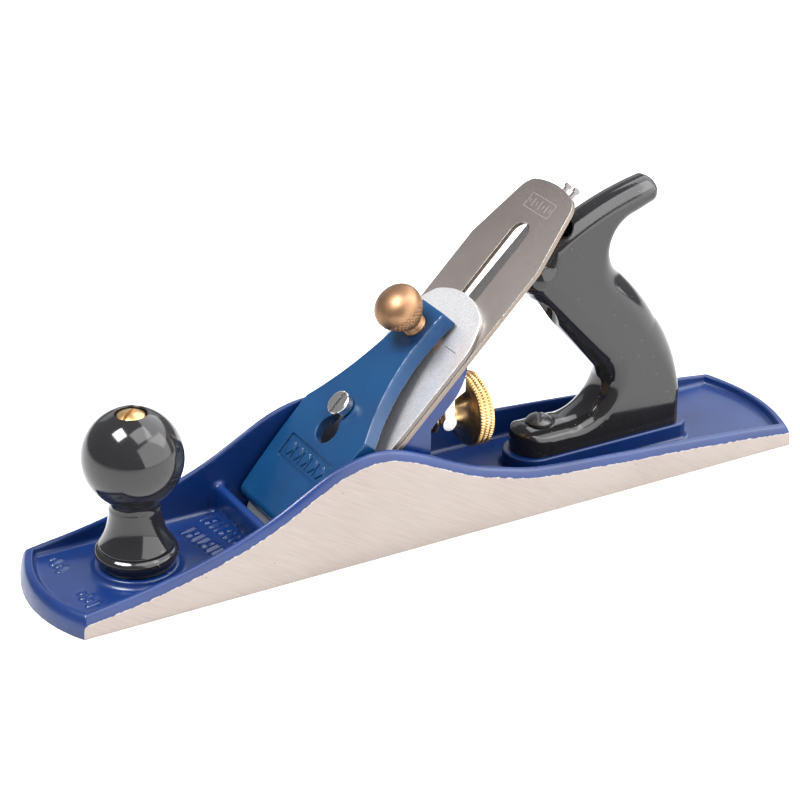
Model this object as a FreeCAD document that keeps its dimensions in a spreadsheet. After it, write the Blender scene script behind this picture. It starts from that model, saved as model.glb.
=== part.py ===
"""Bench plane of the 14 inch, 2 inch cutter size, as an assembly of separate pieces.

Frame: origin at the centre of the sole, +X towards the toe (the direction of cut), +Y to the
plane's left side, +Z up. Millimetres.

The bed is the 45 degree slope that the cutting iron lies on. Pieces on the bed are placed by
three numbers: across (along +Y), along (up the slope, from where the iron's top face meets the
sole) and off (square to the iron's top face, positive away from the frog).
"""
import FreeCAD, Part
import math
import os
from collections import namedtuple

import Sketcher

Vector = FreeCAD.Vector
Placement = FreeCAD.Placement
Rotation = FreeCAD.Rotation
Ring = namedtuple("Ring", "x y radius")

SIZES = {
    # sole and side walls
    "sole_length": 355.6,
    "sole_width": 63.5,
    "sole_thickness": 6.0,
    "toe_radius": 62.9,
    "heel_radius": 73.6,
    "end_rim_width": 5.5,
    "wall_thickness": 4.0,
    "wall_rounding": 1.8,
    "wall_peak": 45.6,
    "wall_heel_height": 7.9,
    "wall_toe_height": 7.2,
    # mouth, rib, frog seat, knob boss and handle pad
    "mouth_width": 54.6,
    "mouth_front": 75.6,
    "mouth_back": 66.0,
    "rib_front": 84.4,
    "rib_thickness": 4.2,
    "rib_height": 18.0,
    "seat_back": 16.0,
    "seat_step": 46.0,
    "seat_front": 59.0,
    "seat_width": 46.0,
    "seat_high": 15.0,
    "seat_low": 7.5,
    "pad_front": -41.5,
    "pad_back": -128.8,
    "pad_width": 25.0,
    "pad_top": 13.5,
    # bed and frog
    "edge_along": 71.71,
    "iron_thickness": 2.1,
    "frog_width": 50.2,
    "frog_back": 11.4,
    "frog_plate": 5.6,
    "frog_top_centre": 90.0,
    "seat_screw_place": 36.0,
    "seat_screw_spread": 14.0,
    "frog_travel": 1.5,
    "adjuster_height": 10.8,
    # depth adjustment
    "wheel_height": 40.3,
    "wheel_radius": 16.0,
    "wheel_back": -25.4,
    "stud_radius": 3.45,
    "yoke_pin_radius": 1.6,
    "yoke_pivot_x": -7.3,
    "yoke_pivot_z": 56.0,
    "yoke_tip_along": 95.47,
    # lateral adjustment
    "lateral_pivot": 110.5,
    "roller_place": 104.5,
    "roller_radius": 5.1,
    "lateral_end": 192.8,
    # cutting iron and cap iron
    "iron_width": 50.8,
    "iron_length": 189.2,
    "iron_bevel": 4.5,
    "iron_slot_width": 11.0,
    "iron_slot_top": 169.0,
    "cap_iron_width": 50.0,
    "cap_iron_top": 130.3,
    "cap_screw_place": 76.5,
    # lever cap
    "lever_cap_bottom": 8.0,
    "lever_cap_top": 118.0,
    "lever_cap_shoulder": 57.0,
    "lever_cap_neck": 17.5,
    "keyhole_place": 51.4,
    "lever_screw_place": 62.8,
    "thumbscrew_place": 107.0,
    "thumbscrew_off": 12.9,
    "thumbscrew_lean": 6.3,
    "thumbscrew_thread": 5.15,
    "thumbscrew_head": 20.6,
    # knob and handle
    "knob_place": 132.35,
    "knob_radius": 20.5,
    "knob_centre": 56.0,
    "knob_base": 9.0,
    "handle_width": 23.0,
    "handle_bolt_foot": -103.0,
    "handle_bolt_lean": 21.4,
    "toe_screw_place": -57.5,
    "toe_screw_seat": 25.5,
    # clearance of a part that turns or slides in another
    "running_fit": 0.05,
}

doc = FreeCAD.newDocument("bench_plane")
sheet = doc.addObject("Spreadsheet::Sheet", "Sizes")
for row, (alias, number) in enumerate(SIZES.items(), start=1):
    sheet.set(f"A{row}", alias)
    sheet.set(f"B{row}", str(number))
    sheet.setAlias(f"B{row}", alias)
doc.recompute()


class Size:
    """A size worked out from the sheet: its number, and the expression that gives it."""

    def __init__(self, value, text):
        self.value = value
        self.text = text

    def __add__(self, other):
        other = as_size(other)
        return Size(self.value + other.value, f"({self.text} + {other.text})")

    def __sub__(self, other):
        other = as_size(other)
        return Size(self.value - other.value, f"({self.text} - {other.text})")

    def __mul__(self, other):
        other = as_size(other)
        return Size(self.value * other.value, f"({self.text} * {other.text})")

    def __truediv__(self, other):
        other = as_size(other)
        return Size(self.value / other.value, f"({self.text} / {other.text})")

    def __rsub__(self, other):
        return as_size(other) - self

    def __neg__(self):
        return Size(-self.value, f"(-1 * {self.text})")


def as_size(number):
    if isinstance(number, Size):
        return number
    return Size(float(number), f"({float(number)!r})")


def root(size):
    return Size(math.sqrt(size.value), f"sqrt({size.text})")


def of(alias):
    """The size that the sheet holds under this name."""
    return Size(float(SIZES[alias]), f"Sizes.{alias}")


def bind(thing, attribute, size):
    """Sets a property and ties it to the sheet."""
    size = as_size(size)
    thing.setExpression(attribute, size.text)


def left(radius):
    """Bends the edge that starts at a point to the left, on this radius."""
    return ("left", as_size(radius))


def right(radius):
    return ("right", as_size(radius))


def dome(radius, height):
    """The bend of a domed top of this radius and height, from its edge to its centre."""
    radius, height = as_size(radius), as_size(height)
    return left((radius * radius + height * height) / (height * 2))


def mirrored(outline):
    """The outline on the other side of the vertical axis, drawn the other way round."""
    flipped = []
    for index, point in enumerate(outline):
        bend = outline[index - 1][2:]
        flipped.append((-as_size(point[0]), point[1], *bend))
    return flipped[::-1]


def from_bed(along, off):
    """The x and z of a point on the bed."""
    half = root(as_size(0.5))
    return of("edge_along") - (as_size(along) - off) * half, (as_size(along) + off) * half


BED_TURN = Rotation(Vector(0, 1, 0), Vector(-1, 0, 1), Vector(1, 0, 1), "ZYX")
LATERAL_SWING = math.radians(2.1)

# ---------------------------------------------------------------- building blocks


def new_body(name):
    body = doc.addObject("PartDesign::Body", name)
    body.Label = name
    body.AllowCompound = True
    return body


def place(thing, x=0, y=0, z=0, turn=None, where="Placement"):
    """Places a body, or the sketch offset named by where, with its position tied to the sheet."""
    x, y, z = as_size(x), as_size(y), as_size(z)
    setattr(thing, where, Placement(Vector(x.value, y.value, z.value), turn or Rotation()))
    for letter, size in zip("xyz", (x, y, z)):
        bind(thing, f"{where}.Base.{letter}", size)


def place_on_bed(thing, across=0, along=0, off=0, lean=0, where="Placement"):
    """As place, for a body whose own Y runs up the bed and own Z square to it."""
    x, z = from_bed(along, off)
    turn = BED_TURN.multiply(Rotation(Vector(1, 0, 0), -as_size(lean).value))
    place(thing, x, across, z, turn, where)


def split_half_rounds(outline):
    """Makes two quarter rounds of each half round, which a radius alone doesn't fix."""
    result = []
    for index, point in enumerate(outline):
        result.append(point)
        if len(point) == 2:
            continue
        side, radius = point[2]
        x, y = as_size(point[0]), as_size(point[1])
        next_x, next_y = (as_size(value) for value in outline[(index + 1) % len(outline)][:2])
        across, up = (next_x - x) / 2, (next_y - y) / 2
        if math.hypot(across.value, up.value) < radius.value * 0.9999:
            continue
        sign = 1 if side == "left" else -1
        result.append((x + across + up * sign, y + up - across * sign, point[2]))
    return result


def draw_outline(drawing, outline):
    """Draws a closed outline of points (x, y) or (x, y, bend), each point tied to the sheet."""
    outline = split_half_rounds(outline)
    corners = [(as_size(point[0]), as_size(point[1])) for point in outline]
    edges = []
    for index, point in enumerate(outline):
        start, end = corners[index], corners[(index + 1) % len(corners)]
        a = Vector(start[0].value, start[1].value, 0)
        b = Vector(end[0].value, end[1].value, 0)
        if len(point) == 2:
            edges.append((drawing.addGeometry(Part.LineSegment(a, b)), 1, 2, None))
            continue
        side, radius = point[2]
        chord = b - a
        rise = math.sqrt(max(radius.value ** 2 - chord.Length ** 2 / 4, 0.0))
        turn = 1 if side == "left" else -1
        square = Vector(-chord.y, chord.x, 0).normalize()
        centre = (a + b) * 0.5 + square * (rise * turn)
        first, last = (a, b) if side == "left" else (b, a)
        angles = [math.atan2(p.y - centre.y, p.x - centre.x) for p in (first, last)]
        circle = Part.Circle(centre, Vector(0, 0, 1), radius.value)
        arc = drawing.addGeometry(Part.ArcOfCircle(circle, *angles))
        ends = (1, 2) if side == "left" else (2, 1)
        edges.append((arc, *ends, radius))
    for index, (edge, start, _, radius) in enumerate(edges):
        before = edges[index - 1]
        drawing.addConstraint(Sketcher.Constraint("Coincident", before[0], before[2], edge, start))
        for kind, size in zip(("DistanceX", "DistanceY"), corners[index]):
            number = drawing.addConstraint(Sketcher.Constraint(kind, -1, 1, edge, start, size.value))
            bind(drawing, f"Constraints[{number}]", size)
        if radius is not None:
            number = drawing.addConstraint(Sketcher.Constraint("Radius", edge, radius.value))
            bind(drawing, f"Constraints[{number}]", radius)


def draw_ring(drawing, ring):
    x, y, radius = (as_size(part) for part in ring)
    circle = Part.Circle(Vector(x.value, y.value, 0), Vector(0, 0, 1), radius.value)
    edge = drawing.addGeometry(circle)
    for kind, size in zip(("DistanceX", "DistanceY"), (x, y)):
        number = drawing.addConstraint(Sketcher.Constraint(kind, -1, 1, edge, 3, size.value))
        bind(drawing, f"Constraints[{number}]", size)
    number = drawing.addConstraint(Sketcher.Constraint("Radius", edge, radius.value))
    bind(drawing, f"Constraints[{number}]", radius)


def drawn_axis(drawing, x):
    """Adds an upright construction line at x to a sketch, and gives its name as an axis."""
    ends = (Vector(x.value, 0, 0), Vector(x.value, 1, 0))
    line = drawing.addGeometry(Part.LineSegment(*ends), True)
    for end, height in ((1, 0), (2, 1)):
        for kind, size in (("DistanceX", x), ("DistanceY", as_size(height))):
            number = drawing.addConstraint(Sketcher.Constraint(kind, -1, 1, line, end, size.value))
            bind(drawing, f"Constraints[{number}]", size)
    return "Axis0"


def sketch(body, plane, *outlines):
    """A sketch on one of the body's own planes: top is XY, side is XZ, end is YZ."""
    role = {"top": "XY_Plane", "side": "XZ_Plane", "end": "YZ_Plane"}[plane]
    datum = [part for part in body.Origin.OriginFeatures if part.Role == role][0]
    drawing = body.newObject("Sketcher::SketchObject", f"{body.Name}_{plane}")
    drawing.AttachmentSupport = [(datum, "")]
    drawing.MapMode = "FlatFace"
    for outline in outlines:
        if isinstance(outline, Ring):
            draw_ring(drawing, outline)
        else:
            draw_outline(drawing, outline)
    return drawing


def raised(drawing, height):
    """Moves a sketch along its own plane's normal."""
    place(drawing, z=height, where="AttachmentOffset")
    return drawing


def on_the_bed(drawing, off=0):
    """Turns a top sketch of an unturned body onto the bed."""
    place_on_bed(drawing, off=off, where="AttachmentOffset")
    return drawing


def add_feature(body, kind, drawing, settings):
    """Adds a feature made from a sketch, and stops if it changes nothing."""
    doc.recompute()
    before = 0 if body.Shape.isNull() else body.Shape.Volume
    feature = body.newObject(f"PartDesign::{kind}", f"{body.Name}_{kind}")
    feature.Profile = (drawing, [""])
    for attribute, value in settings.items():
        if isinstance(value, Size):
            bind(feature, attribute, value)
        else:
            setattr(feature, attribute, value)
    drawing.Visibility = False
    doc.recompute()
    if abs(body.Shape.Volume - before) < 0.01:
        raise RuntimeError(f"{feature.Name} changes nothing")
    return feature


def extent(length, symmetric, back):
    side = "Symmetric" if symmetric else "One side"
    return {"SideType": side, "Reversed": back, "Length": as_size(length)}


def pad(body, drawing, length, symmetric=False, back=False):
    return add_feature(body, "Pad", drawing, extent(length, symmetric, back))


def pocket(body, drawing, length, symmetric=False, back=False):
    return add_feature(body, "Pocket", drawing, extent(length, symmetric, back))


def spin(body, drawing, axis="V_Axis"):
    """Turns a sketch right round its vertical axis, its horizontal one or a drawn one."""
    settings = {"ReferenceAxis": (drawing, [axis]), "Angle": as_size(360)}
    return add_feature(body, "Revolution", drawing, settings)


def round_edges(body, radius, wanted):
    """Rounds the edges that the test picks out."""
    base = body.Tip
    names = [f"Edge{number}" for number, edge in enumerate(base.Shape.Edges, 1) if wanted(edge)]
    feature = body.newObject("PartDesign::Fillet", f"{body.Name}_Fillet")
    feature.Base = (base, names)
    bind(feature, "Radius", radius)
    doc.recompute()


def box(edge):
    return edge.BoundBox


def rectangle(low_x, low_y, high_x, high_y):
    return [(low_x, low_y), (high_x, low_y), (high_x, high_y), (low_x, high_y)]


def slot_outline(half_width, low, high):
    """A slot that runs up the sketch, with a half round at each end; low and high are its ends."""
    half_width = as_size(half_width)
    bottom, top = low + half_width, high - half_width
    return [
        (half_width, bottom),
        (half_width, top, left(half_width)),
        (-half_width, top),
        (-half_width, bottom, left(half_width)),
    ]


def screw_profile(head_radius, head_height, shank_radius, length, dome=0.8):
    """Half of a slotted screw: the head's underside is at 0 and its shank runs down."""
    return [
        (0, -length),
        (shank_radius, -length),
        (shank_radius, 0),
        (head_radius, 0),
        (head_radius, head_height - dome),
        (head_radius - dome, head_height),
        (0, head_height),
    ]


def cut_screw_slot(body, head_radius, top, width=1.3, depth=1.6):
    half = as_size(width) / 2
    reach = as_size(head_radius) + 1
    drawing = raised(sketch(body, "top", rectangle(-reach, -half, reach, half)), top)
    pocket(body, drawing, depth)


parts = []


def finish(thing):
    """Counts the piece among the assembly's parts."""
    parts.append(thing)


def pair(body, name):
    """The piece and its mirror image on the other side of the plane, as one node."""
    body.Label = f"{name}_left"
    twin = doc.addObject("Part::Mirroring", f"{name}_right")
    twin.Source = body
    twin.Normal = Vector(0, 1, 0)
    both = doc.addObject("Part::Compound", name)
    both.Links = [body, twin]
    both.Label = name
    finish(both)


# ---------------------------------------------------------------- sole casting


def end_outline(inset):
    """The plan outline of the sole, or of the floor inside its walls and end rims."""
    half_length = of("sole_length") / 2
    side = of("sole_width") / 2 - (of("wall_thickness") if inset else 0)
    rim = of("end_rim_width") if inset else 0
    toe, heel = of("toe_radius") - rim, of("heel_radius") - rim
    toe_corner = half_length - of("toe_radius") + root(toe * toe - side * side)
    heel_corner = of("heel_radius") - half_length - root(heel * heel - side * side)
    return [
        (heel_corner, -side),
        (toe_corner, -side, left(toe)),
        (toe_corner, side),
        (heel_corner, side, left(heel)),
    ]


def make_body_casting():
    body = new_body("body_casting")
    beyond = of("sole_length") / 2 + 4
    high = of("wall_peak") + 10
    pad(body, sketch(body, "top", end_outline(False)), of("wall_peak"))

    # everything above the line of the side walls, from the heel over the hump to the toe
    above_walls = [
        (-beyond, high),
        (-beyond, of("wall_heel_height") - 0.3),
        (-45, 18.9, left(137)),
        (3, 32.6),
        (20, 40.7, right(39.4)),
        (57, 41.4),
        (72, 32.2, left(134)),
        (128, 13.2),
        (beyond, of("wall_toe_height")),
        (beyond, high),
    ]
    pocket(body, sketch(body, "side", above_walls), of("sole_width") + 10, symmetric=True)
    floor = raised(sketch(body, "top", end_outline(True)), of("sole_thickness"))
    pocket(body, floor, of("wall_peak"), back=True)

    def along_wall_top(edge):
        bounds = box(edge)
        at_wall = abs(abs(bounds.Center.y) - of("sole_width").value / 2) < 0.1
        inner = of("sole_width").value / 2 - of("wall_thickness").value
        at_inner = abs(abs(bounds.Center.y) - inner) < 0.1
        floor_level = of("sole_thickness").value
        lengthwise = bounds.YLength < 0.1 and bounds.XLength > 8 and bounds.ZMin > floor_level + 0.1
        across_end = bounds.YLength > 40 and bounds.ZMax > floor_level + 0.5
        return (lengthwise and (at_wall or at_inner)) or across_end

    round_edges(body, of("wall_rounding"), along_wall_top)

    def stand_on_floor(outline, top):
        """Pads an outline from inside the floor up to this height."""
        root_height = of("sole_thickness") - 1
        pad(body, raised(sketch(body, "top", outline), root_height), of(top) - root_height)

    rib_reach = of("sole_width") / 2 - of("wall_thickness") + 1
    rib_back = of("rib_front") - of("rib_thickness")
    stand_on_floor(rectangle(rib_back, -rib_reach, of("rib_front"), rib_reach), "rib_height")
    seat_half = of("seat_width") / 2
    for front, top in (("seat_step", "seat_high"), ("seat_front", "seat_low")):
        stand_on_floor(rectangle(of("seat_back"), -seat_half, of(front), seat_half), top)

    mouth = [
        (of("mouth_back") + 2, -2),
        (of("mouth_front"), -2),
        (of("mouth_front"), 9),
        (of("mouth_back") - 9, 9),
    ]
    pocket(body, sketch(body, "side", mouth), of("mouth_width"), symmetric=True)

    boss = [
        (0, of("sole_thickness") - 1),
        (19.8, of("sole_thickness") - 1),
        (19.8, of("sole_thickness"), right(3.2)),
        (17.4, of("knob_base") - 0.6),
        (16.8, of("knob_base")),
        (0, of("knob_base")),
    ]
    shifted = [(of("knob_place") + point[0], *point[1:]) for point in boss]
    profile = sketch(body, "side", shifted)
    spin(body, profile, drawn_axis(profile, of("knob_place")))

    pad_half = of("pad_width") / 2
    pad_outline = [
        (of("pad_back") + 5, -pad_half),
        (of("pad_front") - pad_half, -pad_half, left(pad_half)),
        (of("pad_front") - pad_half, pad_half),
        (of("pad_back") + 5, pad_half, left(5)),
        (of("pad_back"), pad_half - 5),
        (of("pad_back"), -pad_half + 5, left(5)),
    ]
    stand_on_floor(pad_outline, "pad_top")

    # blind threaded holes: knob bolt, handle toe screw, frog seat screws
    spread, seat = of("seat_screw_spread"), of("seat_screw_place")
    holes = (
        (Ring(of("knob_place"), 0, 2.95), of("knob_base")),
        (Ring(of("toe_screw_place"), 0, 2.15), of("pad_top")),
        (Ring(seat, spread, 2.55), of("seat_high")),
        (Ring(seat, -spread, 2.55), of("seat_high")),
    )
    for ring, top in holes:
        pocket(body, raised(sketch(body, "top", ring), top), top - 2.6)

    adjuster_hole = raised(sketch(body, "end", Ring(0, of("adjuster_height"), 2.5)), of("seat_back"))
    pocket(body, adjuster_hole, 21, back=True)

    bolt_hole = sketch(body, "top", Ring(0, 0, 2.95))
    turn = Rotation(Vector(0, 1, 0), of("handle_bolt_lean").value)
    place(bolt_hole, of("handle_bolt_foot"), 0, of("pad_top"), turn, "AttachmentOffset")
    pocket(body, bolt_hole, 19, symmetric=True)
    finish(body)


# ---------------------------------------------------------------- frog and what is on it


def make_frog_casting():
    body = new_body("frog_casting")
    face = -of("iron_thickness") - 0.04
    back = face - of("frog_plate")
    top_radius = of("frog_width") / 2
    top_along = of("frog_top_centre") + top_radius
    bed_line = of("edge_along") + face * root(as_size(2))
    back_line = of("edge_along") + back * root(as_size(2))
    toe_low = of("seat_low") + 0.05
    heel_low = of("seat_high") + 0.05
    step = of("seat_step") + 1.8
    side = [
        (step, toe_low),
        (bed_line - toe_low, toe_low),
        from_bed(top_along, face),
        from_bed(top_along, back),
        (of("frog_back"), back_line - of("frog_back")),
        (of("frog_back"), heel_low),
        (step, heel_low),
    ]
    pad(body, sketch(body, "side", side), of("frog_width"), symmetric=True)

    beyond = top_radius + 6
    above_top = [
        (top_radius, of("frog_top_centre"), left(top_radius)),
        (0, top_along, left(top_radius)),
        (-top_radius, of("frog_top_centre")),
        (-beyond, of("frog_top_centre")),
        (-beyond, top_along + 6),
        (beyond, top_along + 6),
        (beyond, of("frog_top_centre")),
    ]
    corners = on_the_bed(sketch(body, "top", above_top), off=4)
    pocket(body, corners, 20)

    # the casting is hollow behind, with a web in the middle and one at each side
    web, side_web, foot = as_size(5.5), as_size(4.2), heel_low + 3
    hollow = [
        (of("frog_back") - 3, foot),
        (back_line - foot, foot),
        (of("frog_back") - 3, back_line - of("frog_back") + 3),
    ]
    band = of("frog_width") / 2 - side_web - web
    for start in (web, -web - band):
        pocket(body, raised(sketch(body, "side", hollow), -start), band)

    # wells and slots for the two screws that hold the frog down
    well, slot = as_size(7.4), as_size(3.0)
    spread, seat, reach = of("seat_screw_spread"), of("seat_screw_place"), of("frog_travel") + 0.3
    for centre in (spread, -spread):
        pocket(body, raised(sketch(body, "top", Ring(seat, centre, well)), foot), 60, back=True)
        clearance = [
            (seat - reach, centre - slot),
            (seat + reach, centre - slot, left(slot)),
            (seat + reach, centre + slot),
            (seat - reach, centre + slot, left(slot)),
        ]
        pocket(body, raised(sketch(body, "top", clearance), heel_low - 1), 6, back=True)

    # openings in the bed face: lever cap screw, cap iron screw head, yoke tip, lateral lever, rivet
    tip = of("yoke_tip_along")
    cuts = (
        (Ring(0, of("lever_screw_place"), 3.2), 10),
        (slot_outline(8.1, of("cap_screw_place") - 9.8, of("cap_screw_place") + 9.4), 4.0),
        (rectangle(-4.2, tip - 3.2, 4.2, tip + 3.9), of("frog_plate") + 1),
        (rectangle(-10.5, tip + 1.8, 10.5, top_along + 2), 2.0),
        (Ring(0, of("lateral_pivot"), 2.2), of("frog_plate") + 1),
    )
    for outline, depth in cuts:
        pocket(body, on_the_bed(sketch(body, "top", outline), off=face), depth)

    boss = raised(sketch(body, "end", Ring(0, of("wheel_height"), 7.4)), 1)
    pad(body, boss, 14)
    bore_radius = of("stud_radius") + of("running_fit")
    bore = raised(sketch(body, "end", Ring(0, of("wheel_height"), bore_radius)), 1)
    pocket(body, bore, 16, back=True)

    # two ears behind the bed that hold the yoke's pin
    x, z, ear = of("yoke_pivot_x"), of("yoke_pivot_z"), as_size(3.4)
    ears = [
        (x - ear, z, left(ear)),
        (x + ear, z),
        (x + 7.6, back_line - x - 6.6),
        (x - ear, back_line - x + ear + 1),
    ]
    for start in (4.2, -6.4):
        pad(body, raised(sketch(body, "side", ears), -as_size(start)), 2.2, back=True)
    pin_hole = sketch(body, "side", Ring(x, z, of("yoke_pin_radius")))
    pocket(body, pin_hole, 14, symmetric=True)

    clip_hole = raised(sketch(body, "end", Ring(0, 21.5, 1.85)), of("frog_back"))
    pocket(body, clip_hole, 8, back=True)
    finish(body)


def make_frog_fasteners():
    seat = of("seat_high") + 3.05
    screw = new_body("frog_seat_screw")
    spin(screw, sketch(screw, "side", screw_profile(5.0, 3.4, 2.5, 12)))
    cut_screw_slot(screw, 5.0, 3.4)
    place(screw, of("seat_screw_place"), of("seat_screw_spread"), seat + 1.05)
    pair(screw, "frog_seat_screws")

    washer = new_body("frog_seat_washer")
    pad(washer, sketch(washer, "top", Ring(0, 0, 5.5), Ring(0, 0, 2.7)), 1.0)
    place(washer, of("seat_screw_place"), of("seat_screw_spread"), seat + 0.02)
    pair(washer, "frog_seat_washers")

    # forked clip on the frog's back, round the groove of the adjusting screw
    clip = new_body("frog_adjust_clip")
    height = of("adjuster_height")
    fork = [
        (-6, 7.2),
        (-2.1, 7.2),
        (-2.1, height, right(2.1)),
        (2.1, height),
        (2.1, 7.2),
        (6, 7.2),
        (6, 23, left(6)),
        (-6, 23),
    ]
    pad(clip, sketch(clip, "end", fork, Ring(0, 21.5, 1.9)), 1.6)
    place(clip, of("frog_back") - 1.62)
    finish(clip)

    clip_screw = new_body("frog_clip_screw")
    spin(clip_screw, sketch(clip_screw, "side", screw_profile(3.5, 2.2, 1.8, 7)))
    cut_screw_slot(clip_screw, 3.5, 2.2, 1.0, 1.0)
    place(clip_screw, of("frog_back") - 1.66, 0, 21.5, Rotation(Vector(0, 1, 0), -90))
    finish(clip_screw)

    adjuster = new_body("frog_adjust_screw")
    groove_start = of("frog_back") - 2.0
    profile = [
        (groove_start - 5.6, 0),
        (groove_start - 5.6, 3.4),
        (groove_start - 4.8, 4.2),
        (groove_start, 4.2),
        (groove_start, 1.95),
        (groove_start + 2.3, 1.95),
        (groove_start + 2.3, 2.45),
        (of("seat_back") + 18, 2.45),
        (of("seat_back") + 18, 0),
    ]
    spin(adjuster, sketch(adjuster, "side", profile), "H_Axis")
    slot = raised(sketch(adjuster, "end", rectangle(-6, -0.6, 6, 0.6)), groove_start - 5.6)
    pocket(adjuster, slot, 1.6, back=True)
    place(adjuster, z=height)
    finish(adjuster)


def make_depth_adjustment():
    height, back = of("wheel_height"), of("wheel_back")
    stud = new_body("depth_stud")
    start = back + 0.6
    pad(stud, raised(sketch(stud, "end", Ring(0, 0, of("stud_radius"))), start), 13.5 - start)
    place(stud, z=height)
    finish(stud)

    # three knurled bands with two grooves between, a bell shaped front, a groove for the yoke
    wheel = new_body("depth_wheel")
    rim, bore = of("wheel_radius"), of("stud_radius") + of("running_fit")
    band, gap, depth = as_size(1.95), as_size(0.55), as_size(0.6)
    dish = back + 1.2
    profile = [
        (back, bore),
        (back, 8),
        (dish, 10),
        (dish, 13.2),
        (back, 13.6),
        (back, rim - 0.4),
        (back + 0.4, rim),
    ]
    for number in (1, 2):
        end = back + (band + gap) * number - gap
        profile += [(end, rim), (end, rim - depth), (end + gap, rim - depth), (end + gap, rim)]
    front = back + band * 3 + gap * 2
    profile += [
        (front, rim),
        (front, rim - 1.2, right(9)),
        (front + 4.4, 10.2, left(4.2)),
        (back + 14.6, 6.6),
        (back + 14.6, 4.4),
        (back + 21.4, 4.4),
        (back + 21.4, 6.5),
        (back + 22.4, 6.5),
        (back + 22.8, 6.1),
        (back + 22.8, bore),
    ]
    spin(wheel, sketch(wheel, "side", profile), "H_Axis")
    place(wheel, z=height)
    finish(wheel)

    # bell crank: a fork round the wheel's groove and a tip that reaches up through the frog
    yoke = new_body("yoke_lever")
    x, z = of("yoke_pivot_x"), of("yoke_pivot_z")
    end, half = as_size(3.2), as_size(2.1)
    prong = [
        (x - half, height + 2.6, left(end)),
        (x - end, height, left(end)),
        (x, height - end, left(end)),
        (x + end, height, left(end)),
        (x + half, height + 2.6),
        (x + 3, z, left(3)),
        (x, z + 3),
        (x - 4, z + 3.5),
        (x - 7.2, z + 3.5),
        (x - 7.2, z - 2.2),
        (x - half, z - 5),
    ]
    for start in (7.0, -9.0):
        pad(yoke, raised(sketch(yoke, "side", prong), -as_size(start)), 2.0, back=True)
    bridge = rectangle(x - 7.2, z - 2.2, x - 4.0, z + 3.5)
    pad(yoke, sketch(yoke, "side", bridge), 18, symmetric=True)
    # the round noses of the fork, in the wheel's groove
    for start in (4.8, -7.2):
        pad(yoke, raised(sketch(yoke, "side", Ring(x, height, 3.1)), -as_size(start)), 2.4, back=True)
    tip_x, tip_z = from_bed(of("yoke_tip_along"), 1.8)
    lean = as_size(1.5) * root(as_size(0.5))
    arm = [
        (x - 4.2, z - 2.2),
        (x + 0.5, z - 3.2, left(3.2)),
        (x + 3.4, z + 0.6),
        (tip_x + lean, tip_z - lean),
        (tip_x - lean, tip_z + lean),
        (x - 2.2, z + 3.2),
        (x - 4.2, z + 1.8),
    ]
    pad(yoke, sketch(yoke, "side", arm), 6.4, symmetric=True)
    pivot_hole = Ring(x, z, of("yoke_pin_radius") + of("running_fit"))
    pocket(yoke, sketch(yoke, "side", pivot_hole), 30, symmetric=True)
    finish(yoke)

    pin = new_body("yoke_pin")
    pad(pin, sketch(pin, "side", Ring(0, 0, of("yoke_pin_radius"))), 19.2, symmetric=True)
    place(pin, x, 0, z)
    finish(pin)


def swung(points):
    """Points drawn on the bed, turned about the lateral pivot as far as the lever is swung."""
    pivot = of("lateral_pivot")
    result = []
    for point in points:
        across, along = as_size(point[0]), as_size(point[1]) - pivot
        turned_across = across * math.cos(LATERAL_SWING) + along * math.sin(LATERAL_SWING)
        turned_along = along * math.cos(LATERAL_SWING) - across * math.sin(LATERAL_SWING)
        result.append((turned_across, pivot + turned_along, *point[2:]))
    return result


def make_lateral_adjustment():
    """The lever lies flat under the iron, swung a little to the left, and ends in a fork."""
    lever = new_body("lateral_lever")
    pivot, roller, end = of("lateral_pivot"), of("roller_place"), of("lateral_end")
    low, thick = as_size(-4.0), as_size(1.6)
    tail = as_size(-6.2)
    side = [
        (roller - 8, low),
        (end - 24, low),
        (end - 3, tail),
        (end, tail),
        (end, tail + thick),
        (end - 3, tail + thick),
        (end - 24, low + thick),
        (roller - 8, low + thick),
    ]
    pad(lever, sketch(lever, "end", side), 16, symmetric=True)
    foot_round = of("roller_radius") + 0.2
    outside = [
        (foot_round, roller - 9),
        (14, roller - 9),
        (14, end + 1),
        (3.8, end + 1),
        (3.8, end - 14),
        (4.1, end - 24),
        (4.1, pivot + 6),
        (foot_round, roller + 2),
    ]
    pocket(lever, raised(sketch(lever, "top", swung(outside), swung(mirrored(outside))), 0), 12)
    below_foot = [
        (-8, roller - 9),
        (8, roller - 9),
        (8, roller - 2),
        (foot_round, roller, right(foot_round)),
        (0, roller - foot_round, right(foot_round)),
        (-foot_round, roller),
        (-8, roller - 2),
    ]
    pocket(lever, sketch(lever, "top", swung(below_foot)), 12)
    # fork for the thumb, each prong with a raised tip
    fork = rectangle(-2.4, end - 7, 2.4, end + 1)
    pocket(lever, sketch(lever, "top", swung(fork)), 12)
    for start in (2.4, -3.8):
        tip = rectangle(as_size(start), end - 1.8, as_size(start) + 1.4, end - 0.2)
        pad(lever, raised(sketch(lever, "top", swung(tip)), tail - 0.8), thick + 1.6)
    pocket(lever, sketch(lever, "top", Ring(0, pivot, 2.25)), 12)
    [(roller_across, roller_along)] = swung([(0, roller)])
    stub = raised(sketch(lever, "top", Ring(roller_across, roller_along, 1.6)), low + thick - 0.5)
    pad(lever, stub, 2.3)
    place_on_bed(lever)
    finish(lever)

    rivet = new_body("lateral_rivet")
    profile = [(0, -9.6), (3.4, -9.6), (3.4, -7.8), (2.15, -7.8), (2.15, -2.4), (0, -2.4)]
    spin(rivet, sketch(rivet, "side", profile))
    place_on_bed(rivet, along=pivot)
    finish(rivet)

    ring = new_body("lateral_roller")
    washer = sketch(ring, "top", Ring(0, 0, of("roller_radius")), Ring(0, 0, 1.65))
    pad(ring, washer, 1.9)
    place_on_bed(ring, across=roller_across, along=roller_along, off=low + thick + 0.1)
    finish(ring)


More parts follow.
